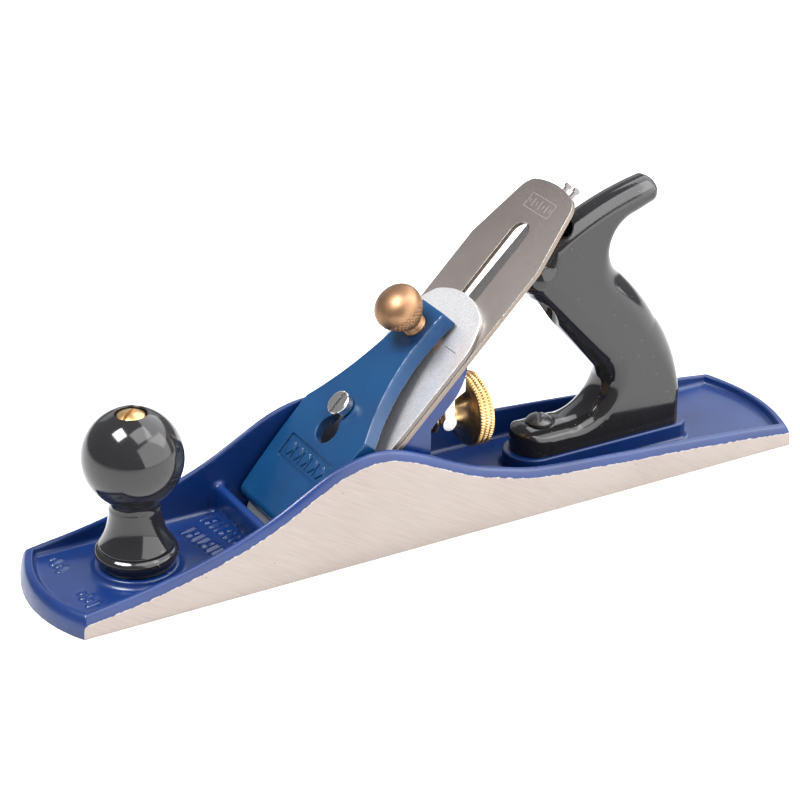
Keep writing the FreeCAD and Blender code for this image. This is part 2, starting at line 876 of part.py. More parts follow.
# ---------------------------------------------------------------- cutting iron and cap iron


def make_cutting_iron():
    body = new_body("cutting_iron")
    half, length = of("iron_width") / 2, of("iron_length")
    thick, slot = of("iron_thickness"), of("iron_slot_width") / 2
    edge = as_size(0.1)
    plate = [
        (-half, edge),
        (half, edge),
        (half, length - 35.2),
        (half - 6.9, length - 8, left(10)),
        (half - 11.4, length - 2.4, left(46)),
        (11.4 - half, length - 2.4, left(10)),
        (6.9 - half, length - 8),
        (-half, length - 35.2),
    ]
    pad(body, sketch(body, "top", plate), thick, back=True)
    # keyhole: the wide foot lets the cap iron's screw through, the slot runs up from it
    wide, centre = as_size(9.2), as_size(56)
    meet = centre + root(wide * wide - slot * slot)
    top = of("iron_slot_top") - slot
    keyhole = [
        (slot, meet),
        (slot, top, left(slot)),
        (-slot, top),
        (-slot, meet, left(wide)),
        (-wide, centre, left(wide)),
        (0, centre - wide, left(wide)),
        (wide, centre, left(wide)),
    ]
    pocket(body, sketch(body, "top", keyhole), thick)
    below = -thick - 1
    bevel_end = edge - below * of("iron_bevel") / thick
    bevel = [(edge - 1, 0), (edge - 1, below), (bevel_end, below), (edge, 0)]
    pocket(body, sketch(body, "end", bevel), of("iron_width") + 4, symmetric=True)
    place_on_bed(body)
    finish(body)


def make_cap_iron():
    body = new_body("cap_iron")
    half, top = of("cap_iron_width") / 2, of("cap_iron_top")
    thick = as_size(2.1)
    hump = [
        (1.6, 0.02),
        (2.6, 0.02, right(15.85)),
        (20, 0.02),
        (top, 0.02),
        (top, thick),
        (19.5, thick, left(13.05)),
        (1.5, 0.9),
    ]
    pad(body, sketch(body, "end", hump), of("cap_iron_width"), symmetric=True)
    beyond = half + 4
    above_top = [
        (half, top - 25, left(27)),
        (half - 7.5, top - 4.8, left(33)),
        (0, top, left(33)),
        (7.5 - half, top - 4.8, left(27)),
        (-half, top - 25),
        (-beyond, top - 25),
        (-beyond, top + 4),
        (beyond, top + 4),
        (beyond, top - 25),
    ]
    pocket(body, raised(sketch(body, "top", above_top), 8), 12)
    tip, screw = of("yoke_tip_along"), of("cap_screw_place")
    openings = (
        slot_outline(5.4, of("lever_screw_place") - 8.4, of("lever_screw_place") + 7.4),
        Ring(0, screw, 2.95 + 0.05),
        rectangle(-4.0, tip - 2.0, 4.0, tip + 2.0),
    )
    pocket(body, raised(sketch(body, "top", *openings), 4), 8)
    place_on_bed(body)
    finish(body)


def make_cap_iron_screw():
    screw = new_body("cap_iron_screw")
    under = -of("iron_thickness") - 0.05
    profile = [(0, -5.4), (6.6, -5.4), (7.2, -4.8), (7.2, under), (2.95, under), (2.95, 2.0), (0, 2.0)]
    spin(screw, sketch(screw, "side", profile))
    slot = raised(sketch(screw, "top", rectangle(-8, -0.8, 8, 0.8)), -5.4)
    pocket(screw, slot, 1.4, back=True)
    place_on_bed(screw, along=of("cap_screw_place"))
    return finish(screw)


# ---------------------------------------------------------------- lever cap


def make_lever_cap():
    body = new_body("lever_cap")
    low, top, shoulder = of("lever_cap_bottom"), of("lever_cap_top"), of("lever_cap_shoulder")
    half = of("iron_width") / 2
    side = [
        (low + 1.2, 5.5),
        (low + 6, 5.5),
        (low + 12, 6.8, right(360)),
        (top, 2.9),
        (top, 11.2, left(455)),
        (low + 3, 12.6, left(3.4)),
        (low, 9.6),
        (low, 7.2),
    ]
    pad(body, sketch(body, "end", side), of("iron_width"), symmetric=True)

    neck = of("lever_cap_neck") / 2
    beside_neck = [
        (half, shoulder, right(106)),
        (neck, top),
        (neck, top + 4),
        (half + 5, top + 4),
        (half + 5, shoulder),
    ]
    pocket(body, raised(sketch(body, "top", beside_neck, mirrored(beside_neck)), 20), 24)

    # hollow underneath, wide below the shoulder and narrow above it
    wide = [(low + 12, 0), (shoulder - 3, 0), (shoulder - 3, 11), (low + 16, 10.2), (low + 12, 8.6)]
    narrow = [(shoulder - 3.1, 0), (top - 20, 0), (top - 20, 9.4), (shoulder - 3.1, 10.8)]
    pocket(body, sketch(body, "end", wide), of("iron_width") - 8, symmetric=True)
    pocket(body, sketch(body, "end", narrow), 12.6, symmetric=True)

    centre, slot_end = of("keyhole_place"), of("lever_screw_place")
    wide_hole, slot = as_size(6.2), as_size(3.55)
    meet = centre + root(wide_hole * wide_hole - slot * slot)
    keyhole = [
        (slot, meet),
        (slot, slot_end, left(slot)),
        (-slot, slot_end),
        (-slot, meet, left(wide_hole)),
        (-wide_hole, centre, left(wide_hole)),
        (0, centre - wide_hole, left(wide_hole)),
        (wide_hole, centre, left(wide_hole)),
    ]
    pocket(body, raised(sketch(body, "top", keyhole), 20), 24)

    thread_hole = sketch(body, "top", Ring(0, 0, of("thumbscrew_thread") + of("running_fit")))
    turn = Rotation(Vector(1, 0, 0), -of("thumbscrew_lean").value)
    axis_point = (0, of("thumbscrew_place"), of("thumbscrew_off"))
    place(thread_hole, *axis_point, turn, "AttachmentOffset")
    pocket(body, thread_hole, 40, symmetric=True)
    place_on_bed(body)
    finish(body)


def make_lever_cap_screws():
    screw = new_body("lever_cap_screw")
    spin(screw, sketch(screw, "side", screw_profile(5.5, 4.2, 3.15, 24, dome=1.0)))
    cut_screw_slot(screw, 5.5, 4.2, 1.5, 2.0)
    place_on_bed(screw, along=of("lever_screw_place"), off=15.4)
    finish(screw)

    # domed thumbscrew: smooth crown, tapered knurled skirt, threaded neck down to the cap iron
    thumb = new_body("lever_cap_thumbscrew")
    head, thread = of("thumbscrew_head") / 2, of("thumbscrew_thread")
    profile = [
        (0, -10.2),
        (3.6, -10.2),
        (thread, -8.9),
        (thread, 3.2),
        (head - 2.6, 5.6),
        (head - 0.3, 9.6, left(2.4)),
        (head, 10.8, dome(head, head)),
        (0, head + 10.8),
    ]
    spin(thumb, sketch(thumb, "side", profile))
    along, off = of("thumbscrew_place"), of("thumbscrew_off")
    place_on_bed(thumb, along=along, off=off, lean=of("thumbscrew_lean"))
    finish(thumb)


# ---------------------------------------------------------------- knob and handle


def make_knob():
    knob = new_body("front_knob")
    base, centre, ball = of("knob_base"), of("knob_centre"), of("knob_radius")
    neck, recess = as_size(10.6), as_size(6.3)
    neck_height = centre - root(ball * ball - (neck + 0.6) * (neck + 0.6))
    rim_height = centre + root(ball * ball - (recess + 0.5) * (recess + 0.5))
    profile = [
        (3.05, base + 0.02),
        (14.6, base + 0.02, left(1.2)),
        (15.6, base + 1.0),
        (16.6, base + 4.0, left(2.4)),
        (16.2, base + 7.0),
        (15.4, base + 7.6),
        (15.4, base + 9.0, right(26)),
        (neck, base + 25, right(5)),
        (neck + 0.6, neck_height, left(ball)),
        (recess + 0.5, rim_height, left(0.8)),
        (recess, rim_height - 0.6),
        (recess, rim_height - 3.4),
        (4.3, rim_height - 3.4),
        (4.3, rim_height - 18),
        (3.05, rim_height - 18),
    ]
    spin(knob, sketch(knob, "side", profile))
    place(knob, of("knob_place"))
    finish(knob)

    bolt = new_body("knob_bolt")
    bolt_top = rim_height - 5
    pad(bolt, raised(sketch(bolt, "top", Ring(0, 0, 2.9)), 3), bolt_top - 3)
    place(bolt, of("knob_place"))
    finish(bolt)
    make_nut("knob_nut", rim_height - 3.4, of("knob_place"), 0, Rotation(Vector(0, 0, 1), 35))


def make_nut(name, seat, x, z, turn):
    """Slotted brass barrel nut with a domed head; its head rests on seat along its own axis."""
    nut = new_body(name)
    profile = [
        (2.95, seat - 13),
        (4.2, seat - 13),
        (4.2, seat + 0.02),
        (5.7, seat + 0.02),
        (5.7, seat + 2.4, dome(5.7, 1.8)),
        (0, seat + 4.2),
        (0, seat - 1.4),
        (2.95, seat - 1.4),
    ]
    spin(nut, sketch(nut, "side", profile))
    cut_screw_slot(nut, 5.7, seat + 4.3, 1.4, 1.9)
    place(nut, x, 0, z, turn)
    finish(nut)


def make_handle():
    """Side outline of the handle: base, toe, finger curve, nose, top, horn, hand web, back."""
    handle = new_body("rear_handle")
    base, toe_top = of("pad_top") + 0.05, of("toe_screw_seat")
    outline = [
        (-127.4, base),
        (-44.6, base),
        (-44.6, base + 6, left(6)),
        (-50.4, toe_top),
        (-67.5, toe_top, right(16.5)),
        (-87.0, 40.5, right(12)),
        (-83.2, 47.6),
        (-51.2, 89.2, left(7.6)),
        (-53.4, 103.4, left(134)),
        (-104.6, 125.8, left(4.7)),
        (-105.2, 116.8),
        (-98.0, 115.4, right(13.5)),
        (-87.6, 103.0, right(17)),
        (-91.8, 90.6),
        (-112.0, 66.0, left(64)),
        (-127.2, 27.0),
    ]
    pad(handle, sketch(handle, "side", outline), of("handle_width"), symmetric=True)

    def palm_edge(edge):
        middle = box(edge).Center
        at_side = abs(abs(middle.y) - of("handle_width").value / 2) < 0.1
        return at_side and middle.x < -95 and base.value + 5 < middle.z < 100

    round_edges(handle, 5.5, palm_edge)

    screw_hole = raised(sketch(handle, "top", Ring(of("toe_screw_place"), 0, 2.3)), toe_top + 10)
    pocket(handle, screw_hole, 40)
    counterbore = raised(sketch(handle, "top", Ring(of("toe_screw_place"), 0, 6.4)), toe_top + 8)
    pocket(handle, counterbore, 8.4)

    turn = Rotation(Vector(0, 1, 0), of("handle_bolt_lean").value)
    foot, lift = of("handle_bolt_foot"), of("pad_top")
    nut_seat = as_size(97.0)
    for radius, start in ((3.05, -3), (4.3, nut_seat - 14.6), (6.3, nut_seat)):
        hole = sketch(handle, "top", Ring(0, 0, radius))
        angle = math.radians(of("handle_bolt_lean").value)
        start = as_size(start)
        x, z = foot + start * math.sin(angle), lift + start * math.cos(angle)
        place(hole, x, 0, z, turn, "AttachmentOffset")
        pocket(handle, hole, 130, back=True)
    finish(handle)

    bolt = new_body("handle_bolt")
    pad(bolt, raised(sketch(bolt, "top", Ring(0, 0, 2.9)), -9), nut_seat - 2 + 9)
    place(bolt, foot, 0, lift, turn)
    finish(bolt)
    make_nut("handle_nut", nut_seat, foot, lift, turn)

    screw = new_body("handle_toe_screw")
    profile = [
        (0, 4),
        (2.1, 4),
        (2.1, toe_top - 0.38),
        (5.9, toe_top - 0.38),
        (5.9, toe_top + 0.6, dome(5.9, 2.8)),
        (0, toe_top + 3.4),
    ]
    spin(screw, sketch(screw, "side", profile))
    cut_screw_slot(screw, 5.9, toe_top + 3.5, 1.5, 1.8)
    place(screw, of("toe_screw_place"), turn=Rotation(Vector(0, 0, 1), 60))
    finish(screw)


# ---------------------------------------------------------------- build, check and write

make_body_casting()
make_frog_casting()
make_frog_fasteners()
make_depth_adjustment()
make_lateral_adjustment()
make_cutting_iron()
make_cap_iron()
make_cap_iron_screw()
make_lever_cap()
make_lever_cap_screws()
make_knob()
make_handle()
doc.recompute()

for thing in doc.Objects:
    if "Invalid" in thing.State or "Error" in thing.State:
        raise RuntimeError(f"{thing.Name}: {thing.State}")
for thing in parts:
    if thing.Shape.isNull() or not thing.Shape.isValid():
        raise RuntimeError(f"{thing.Label} has no valid shape")

os.makedirs("parts", exist_ok=True)
for thing in parts:
    thing.Shape.exportStep(os.path.join("parts", f"{thing.Label}.step"))
    solids = len(thing.Shape.Solids)
    print(f"{thing.Label}: {solids} solid(s), {thing.Shape.Volume / 1000:.2f} cm3")
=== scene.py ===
import math

import bmesh
import bpy
import numpy as np
import openvdb
from mathutils import Matrix, Vector


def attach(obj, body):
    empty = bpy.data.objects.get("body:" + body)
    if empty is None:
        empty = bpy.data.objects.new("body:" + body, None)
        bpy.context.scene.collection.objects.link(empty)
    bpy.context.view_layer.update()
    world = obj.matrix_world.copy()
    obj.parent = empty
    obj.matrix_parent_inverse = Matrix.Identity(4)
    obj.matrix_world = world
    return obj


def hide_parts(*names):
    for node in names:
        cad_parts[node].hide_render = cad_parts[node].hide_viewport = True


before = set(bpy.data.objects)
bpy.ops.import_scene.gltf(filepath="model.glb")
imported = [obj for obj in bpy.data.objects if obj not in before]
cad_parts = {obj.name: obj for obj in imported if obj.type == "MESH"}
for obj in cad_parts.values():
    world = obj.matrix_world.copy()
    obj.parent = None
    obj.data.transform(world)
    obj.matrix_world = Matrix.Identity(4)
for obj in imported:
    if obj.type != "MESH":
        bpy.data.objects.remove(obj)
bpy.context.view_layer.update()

# Lengths below are millimetres in the row frame: +X to the toe, +Y to the plane's left, +Z up.
MM = 0.001
ROOT_HALF = math.sqrt(0.5)
EDGE_ALONG = 71.71
FINE = 0.55
STEP = FINE

# Places that more than one piece needs
KNOB_X = 132.35
ADJUSTER_Z = 10.8
SCREW_ALONG = 62.8
THUMB_ALONG = 107.0
THUMB_OFF = 12.9
THUMB_LEAN = 6.3

# ---------------------------------------------------------------- camera, light, floor

CAMERA_PLACE = (0.478594, 0.809619, 0.516138)
CAMERA_RIGHT = (-0.86833, 0.49591, 0.00852)
CAMERA_UP = (-0.21394, -0.39001, 0.89561)
CAMERA_BACK = (0.44746, 0.77587, 0.44475)


def make_camera():
    data = bpy.data.cameras.new("camera")
    data.sensor_width = 36.0
    data.lens = 113.45
    data.clip_start = 0.01
    data.clip_end = 50.0
    camera = bpy.data.objects.new("camera", data)
    bpy.context.scene.collection.objects.link(camera)
    axes = Matrix((CAMERA_RIGHT, CAMERA_UP, CAMERA_BACK)).transposed()
    camera.matrix_world = Matrix.Translation(CAMERA_PLACE) @ axes.to_4x4()
    bpy.context.scene.camera = camera


def softbox(name, azimuth, elevation, distance, width, height, radiance, colour=(1, 1, 1)):
    """A rectangular lamp seen from the object in this direction, facing it."""
    data = bpy.data.lights.new(name, "AREA")
    data.shape = "RECTANGLE"
    data.size = width
    data.size_y = height
    data.energy = radiance * math.pi * width * height
    data.color = colour
    lamp = bpy.data.objects.new(name, data)
    bpy.context.scene.collection.objects.link(lamp)
    a, e = math.radians(azimuth), math.radians(elevation)
    direction = Vector((math.cos(e) * math.cos(a), math.cos(e) * math.sin(a), math.sin(e)))
    turn = direction.to_track_quat("Z", "Y")
    lamp.matrix_world = Matrix.Translation(direction * distance) @ turn.to_matrix().to_4x4()


def make_studio():
    # azimuth and elevation in degrees, then distance, width and height in metres, then radiance
    softbox("key", -4, 61, 1.25, 0.50, 0.42, 33)
    softbox("overhead", 112, 71, 1.5, 1.0, 0.75, 5.2)
    softbox("side", 124, 27, 1.35, 2.1, 1.3, 3.6, (1.0, 0.985, 0.96))
    softbox("back", -176, 50, 1.5, 2.2, 1.3, 3.4, (0.97, 0.98, 1.0))
    softbox("backdrop", -108, 24, 1.7, 1.9, 0.6, 0.75, (0.97, 0.98, 1.0))
    world = bpy.data.worlds.new("studio")
    world.use_nodes = True
    background = world.node_tree.nodes["Background"]
    background.inputs["Color"].default_value = (0.9, 0.93, 1.0, 1)
    background.inputs["Strength"].default_value = 0.35
    bpy.context.scene.world = world
    bpy.context.scene.view_settings.view_transform = "Standard"

    shader = Shader("floor_white", base=(0.8, 0.8, 0.8), roughness=0.7)
    shader.connect("Roughness", shader.between(shader.noise(3.0), 0.3, 0.7, 0.65, 0.8))
    mesh = bpy.data.meshes.new("floor")
    reach = 6.0
    corners = [(-reach, -reach, 0), (reach, -reach, 0), (reach, reach, 0), (-reach, reach, 0)]
    mesh.from_pydata(corners, [], [(0, 1, 2, 3)])
    mesh.materials.append(shader.material)
    floor = bpy.data.objects.new("floor", mesh)
    bpy.context.scene.collection.objects.link(floor)


# ---------------------------------------------------------------- materials

# How the grain of brushed steel is turned, and how far it is drawn out
UP_THE_BED = (0, 0.785, 0)
UPRIGHT = (0, 0, 0)
BED_GRAIN = (1.0, 26.0, 26.0)
UPRIGHT_GRAIN = (26.0, 26.0, 1.0)


class Shader:
    """A Principled material and the few node recipes that the finishes share."""

    def __init__(self, name, base, roughness, metallic=0.0, **sockets):
        self.material = bpy.data.materials.new(name)
        self.material.use_nodes = True
        self.tree = self.material.node_tree
        self.bsdf = self.tree.nodes["Principled BSDF"]
        self.bsdf.inputs["Base Color"].default_value = (*base, 1)
        self.bsdf.inputs["Roughness"].default_value = roughness
        self.bsdf.inputs["Metallic"].default_value = metallic
        for socket, value in sockets.items():
            self.bsdf.inputs[socket.replace("_", " ")].default_value = value
        self.coords = self.tree.nodes.new("ShaderNodeTexCoord").outputs["Object"]

    def node(self, kind, inputs, output=0, **settings):
        node = self.tree.nodes.new("ShaderNode" + kind)
        for key, value in settings.items():
            setattr(node, key, value)
        for key, value in inputs.items():
            if isinstance(value, bpy.types.NodeSocket):
                self.tree.links.new(value, node.inputs[key])
            else:
                node.inputs[key].default_value = value
        return node.outputs[output]

    def connect(self, socket, value):
        self.tree.links.new(value, self.bsdf.inputs[socket])

    def placed(self, turn, stretch):
        """Object coordinates turned, then stretched."""
        turned = self.node("Mapping", {"Vector": self.coords, "Rotation": turn})
        return self.node("Mapping", {"Vector": turned, "Scale": stretch})

    def noise(self, scale, detail=3.0, rough=0.5, vector=None):
        settings = {"Vector": vector or self.coords, "Scale": scale, "Detail": detail, "Roughness": rough}
        return self.node("TexNoise", settings)

    def between(self, value, low, high, to_low=0.0, to_high=1.0):
        settings = {"Value": value, "From Min": low, "From Max": high, "To Min": to_low, "To Max": to_high}
        return self.node("MapRange", settings)

    def math(self, operation, a, b=0.0):
        return self.node("Math", {0: a, 1: b}, operation=operation)

    def mix(self, factor, a, b):
        colours = {0: factor, 6: a if isinstance(a, bpy.types.NodeSocket) else (*a, 1)}
        colours[7] = b if isinstance(b, bpy.types.NodeSocket) else (*b, 1)
        return self.node("Mix", colours, output=2, data_type="RGBA")

    def specks(self, scale, radius, share):
        """1 in small scattered dots, 0 elsewhere; share is the share of cells that have one."""
        cells = self.tree.nodes.new("ShaderNodeTexVoronoi")
        self.tree.links.new(self.coords, cells.inputs["Vector"])
        cells.inputs["Scale"].default_value = scale
        cells.inputs["Randomness"].default_value = 1.0
        near = self.between(cells.outputs["Distance"], radius, radius * 0.5)
        chosen = self.node("SeparateColor", {0: cells.outputs["Color"]})
        picked = self.math("GREATER_THAN", chosen, 1.0 - share)
        return self.math("MULTIPLY", near, picked)

    def painted_side_shade(self, tone, side_shade_colour):
        """Painted shade on the faces of a plate that look left and right."""
        facing = self.tree.nodes.new("ShaderNodeTexCoord").outputs["Normal"]
        sideways = self.math("ABSOLUTE", self.node("SeparateXYZ", {0: facing}, output=1))
        return self.mix(self.between(sideways, 0.75, 0.9), tone, side_shade_colour)

    def bump(self, height, distance, strength):
        settings = {"Height": height, "Distance": distance, "Strength": strength}
        self.connect("Normal", self.node("Bump", settings))


def paint_material(name, deep, light):
    """Satin enamel on cast iron: faint mottling, soft waviness, dust specks, bare iron at the sides."""
    dust_blue, bare_iron = (0.16, 0.22, 0.36), (0.34, 0.31, 0.30)
    worn_from, worn_to = 0.03186, 0.03192
    shader = Shader(
        name, base=deep, roughness=0.34, Coat_Weight=0.15, Coat_Roughness=0.14, Specular_IOR_Level=0.36
    )
    mottle = shader.between(shader.noise(38.0, 5.0, 0.6), 0.35, 0.7)
    colour = shader.mix(mottle, deep, light)
    dust = shader.specks(300.0, 0.10, 0.07)
    colour = shader.mix(shader.math("MULTIPLY", dust, 0.3), colour, dust_blue)
    across = shader.math("ABSOLUTE", shader.node("SeparateXYZ", {0: shader.coords}, output=1))
    ragged = shader.math("MULTIPLY", shader.noise(420.0, 3.0, 0.6), 0.0004)
    worn = shader.between(shader.math("ADD", across, ragged), worn_from, worn_to)
    colour = shader.mix(worn, colour, bare_iron)
    shader.connect("Base Color", colour)
    shader.connect("Roughness", shader.between(shader.noise(60.0, 2.0), 0.3, 0.75, 0.27, 0.38))
    shader.bump(shader.noise(70.0, 0.0), 0.00005, 0.35)
    return shader.material


def ground_material():
    """Surface-ground cast iron: warm grey, fine grinding marks, small dark pits."""
    shader = Shader("ground_iron", base=(0.5, 0.45, 0.41), roughness=0.45, metallic=0.8)
    marks = shader.noise(60.0, 6.0, 0.65, shader.placed((0, 0.55, 0), (1.0, 1.0, 22.0)))
    blotch = shader.noise(14.0, 4.0)
    tone = shader.mix(shader.between(marks, 0.3, 0.7), (0.25, 0.214, 0.194), (0.33, 0.289, 0.262))
    tone = shader.mix(shader.between(blotch, 0.35, 0.7, 0.0, 0.4), tone, (0.355, 0.316, 0.29))
    pits = shader.math("MAXIMUM", shader.specks(230.0, 0.10, 0.16), shader.specks(640.0, 0.14, 0.10))
    tone = shader.mix(shader.math("MULTIPLY", pits, 0.65), tone, (0.11, 0.09, 0.08))
    shader.connect("Base Color", tone)
    shader.connect("Roughness", shader.between(marks, 0.25, 0.75, 0.40, 0.58))
    shader.bump(marks, 0.00003, 0.5)
    return shader.material


def brushed_material(name, dark, light, roughness, along=UP_THE_BED, metallic=0.95, edge=None):
    """Steel with fine lines up the bed or upright, blotches, dark specks and perhaps painted shade on its
    side faces.
    """
    stretch = BED_GRAIN if along == UP_THE_BED else UPRIGHT_GRAIN
    shader = Shader(name, base=dark, roughness=roughness, metallic=metallic)
    lines = shader.noise(90.0, 6.0, 0.7, shader.placed(along, stretch))
    blotch = shader.noise(26.0, 4.0)
    tone = shader.mix(shader.between(lines, 0.3, 0.7), dark, light)
    tone = shader.mix(shader.between(blotch, 0.4, 0.75, 0.0, 0.35), tone, light)
    pits = shader.specks(420.0, 0.12, 0.05)
    tone = shader.mix(shader.math("MULTIPLY", pits, 0.6), tone, tuple(0.25 * c for c in dark))
    # edge is the colour of painted shade on the faces that look left and right
    if edge:
        tone = shader.painted_side_shade(tone, edge)
    shader.connect("Base Color", tone)
    shader.connect("Roughness", shader.between(lines, 0.25, 0.75, roughness - 0.07, roughness + 0.08))
    shader.bump(lines, 0.00002, 0.45)
    return shader.material


def iron_material():
    """The cutting iron: warm grey steel, with painted shade that makes it darker and browner towards its top
    and on its side faces.
    """
    shader = Shader("iron_steel", base=(0.3, 0.27, 0.25), roughness=0.4, metallic=0.95)
    lines = shader.noise(90.0, 6.0, 0.7, shader.placed(UP_THE_BED, BED_GRAIN))
    # painted shade: dark brown near the iron's top grading to a lighter grey lower down, standing in for how
    # light falls along the iron
    up = shader.node("SeparateXYZ", {0: shader.coords}, output=2)
    across = shader.node("SeparateXYZ", {0: shader.coords}, output=1)
    height = shader.math("SUBTRACT", up, shader.math("MULTIPLY", across, 0.5))
    painted_light_below = shader.between(height, 0.150, 0.084)
    tone = shader.mix(painted_light_below, (0.19, 0.16, 0.142), (0.36, 0.32, 0.295))
    tone = shader.mix(shader.between(lines, 0.3, 0.7, 0.0, 0.22), tone, (0.46, 0.42, 0.39))
    stain = shader.between(shader.noise(34.0, 5.0, 0.6), 0.5, 0.75, 0.0, 0.25)
    tone = shader.mix(stain, tone, (0.17, 0.14, 0.12))
    pits = shader.specks(420.0, 0.12, 0.07)
    tone = shader.mix(shader.math("MULTIPLY", pits, 0.6), tone, (0.07, 0.06, 0.05))
    # painted shade on the iron's side faces
    tone = shader.painted_side_shade(tone, (0.20, 0.165, 0.14))
    shader.connect("Base Color", tone)
    shader.connect("Roughness", shader.between(lines, 0.25, 0.75, 0.34, 0.48))
    shader.bump(lines, 0.00002, 0.45)
    return shader.material


def brass_material(name, dark, light, roughness):
    shader = Shader(name, base=light, roughness=roughness, metallic=1.0)
    cloud = shader.noise(120.0, 5.0, 0.6)
    fine = shader.noise(900.0, 3.0)
    tone = shader.mix(shader.between(cloud, 0.35, 0.7), light, dark)
    shader.connect("Base Color", tone)
    shader.connect("Roughness", shader.between(cloud, 0.3, 0.75, roughness - 0.06, roughness + 0.1))
    shader.bump(fine, 0.00002, 0.5)
    return shader.material


def plastic_material():
    """Glossy black moulded plastic with hairline scratches, dust and a faint waviness."""
    shader = Shader("black_plastic", base=(0.012, 0.011, 0.012), roughness=0.08, Specular_IOR_Level=0.5)
    scratch = shader.noise(70.0, 6.0, 0.75, shader.placed((0.4, 0.5, 0.3), (1.0, 30.0, 8.0)))
    hair = shader.between(scratch, 0.66, 0.70)
    dust = shader.math("MAXIMUM", shader.specks(260.0, 0.09, 0.07), shader.specks(800.0, 0.16, 0.05))
    marks = shader.math("MAXIMUM", shader.math("MULTIPLY", hair, 0.16), shader.math("MULTIPLY", dust, 0.6))
    shader.connect("Base Color", shader.mix(marks, (0.012, 0.0115, 0.012), (0.32, 0.31, 0.30)))
    smear = shader.between(shader.noise(55.0, 4.0), 0.35, 0.75, 0.06, 0.16)
    shader.connect("Roughness", shader.math("ADD", smear, shader.math("MULTIPLY", marks, 0.5)))
    shader.bump(shader.noise(48.0, 2.0), 0.00022, 0.35)
    return shader.material


# ---------------------------------------------------------------- outlines and fields

TINY = 1e-12
NEWTON_PASSES = 2
FARTHEST_MOVE = 0.5
FACE_NORMAL_BELOW = 0.4


def sample(points, chord=0.8):
    """A polyline from (x, y) or (x, y, bend) points; bend is the radius of the arc to the next point,
    positive when it turns left. The last point joins the first only if the caller repeats it."""
    line = []
    for here, following in zip(points, points[1:]):
        x0, y0 = here[:2]
        x1, y1 = following[:2]
        line.append((x0, y0))
        if len(here) < 3:
            continue
        radius = abs(here[2])
        side = 1 if here[2] > 0 else -1
        dx, dy = x1 - x0, y1 - y0
        length = math.hypot(dx, dy)
        rise = math.sqrt(max(radius * radius - length * length / 4, 0.0))
        cx = (x0 + x1) / 2 - side * dy / length * rise
        cy = (y0 + y1) / 2 + side * dx / length * rise
        start = math.atan2(y0 - cy, x0 - cx)
        sweep = 2 * math.asin(min(1.0, length / 2 / radius)) * side
        parts = max(2, int(abs(sweep) * radius / chord) + 1, int(abs(sweep) / 0.16) + 1)
        for part in range(1, parts):
            angle = start + sweep * part / parts
            line.append((cx + radius * math.cos(angle), cy + radius * math.sin(angle)))
    line.append(tuple(points[-1][:2]))
    return line


def polygon_distance(points, xs, ys):
    """Signed distance of each (x, y) of a grid to a closed polygon, negative inside."""
    px, py = np.meshgrid(xs, ys, indexing="ij")
    best = np.full(px.shape, 1e9)
    inside = np.zeros(px.shape, bool)
    ring = list(points)
    for (x0, y0), (x1, y1) in zip(ring, ring[1:] + ring[:1]):
        ex, ey = x1 - x0, y1 - y0
        size = ex * ex + ey * ey
        if size < TINY:
            continue
        t = np.clip(((px - x0) * ex + (py - y0) * ey) / size, 0, 1)
        best = np.minimum(best, (px - x0 - t * ex) ** 2 + (py - y0 - t * ey) ** 2)
        crosses = (y0 > py) != (y1 > py)
        if abs(ey) > TINY:
            inside ^= crosses & (px < x0 + (py - y0) * ex / ey)
    distance = np.sqrt(best)
    return np.where(inside, -distance, distance)


def both(a, b, radius):
    """The overlap of two solids, with its edge rounded."""
    corner = np.hypot(np.maximum(a + radius, 0), np.maximum(b + radius, 0))
    return np.minimum(-radius, np.maximum(a, b)) + corner


def either(a, b, radius):
    """The union of two solids, with a fillet where they meet."""
    return -both(-a, -b, radius)


def axis_values(low, high, step):
    return low + step * np.arange(int(math.ceil((high - low) / step)) + 1)


def trilinear(field, at):
    """The field's value at fractional grid places."""
    top = np.array(field.shape) - 2
    cell = np.clip(np.floor(at).astype(int), 0, top)
    t = at - cell
    result = 0.0
    for corner in range(8):
        bits = [(corner >> axis) & 1 for axis in range(3)]
        weight = 1.0
        for axis in range(3):
            weight = weight * (t[:, axis] if bits[axis] else 1 - t[:, axis])
        result = result + weight * field[cell[:, 0] + bits[0], cell[:, 1] + bits[1], cell[:, 2] + bits[2]]
    return result


def gradient(field, at, reach=0.7):
    parts = []
    for axis in range(3):
        shift = np.zeros(3)
        shift[axis] = reach
        parts.append((trilinear(field, at + shift) - trilinear(field, at - shift)) / (2 * reach))
    return np.stack(parts, axis=1)


def surface(field, step, adaptivity):
    """The zero surface of a field: faces, and points in grid steps, pulled onto the surface."""
    grid = openvdb.FloatGrid(3.0 * step)
    grid.copyFromArray(field.astype(np.float32))
    points, triangles, quads = grid.convertToPolygons(0.0, adaptivity)
    at = points.astype(float)
    for _ in range(NEWTON_PASSES):
        slope = gradient(field, at)
        size = np.maximum((slope**2).sum(axis=1), 1e-6)
        move = (trilinear(field, at) / size)[:, None] * slope
        at = at - np.clip(move, -FARTHEST_MOVE, FARTHEST_MOVE)
    faces = [tuple(int(i) for i in reversed(face)) for face in triangles]
    faces += [tuple(int(i) for i in reversed(face)) for face in quads]
    return at, faces


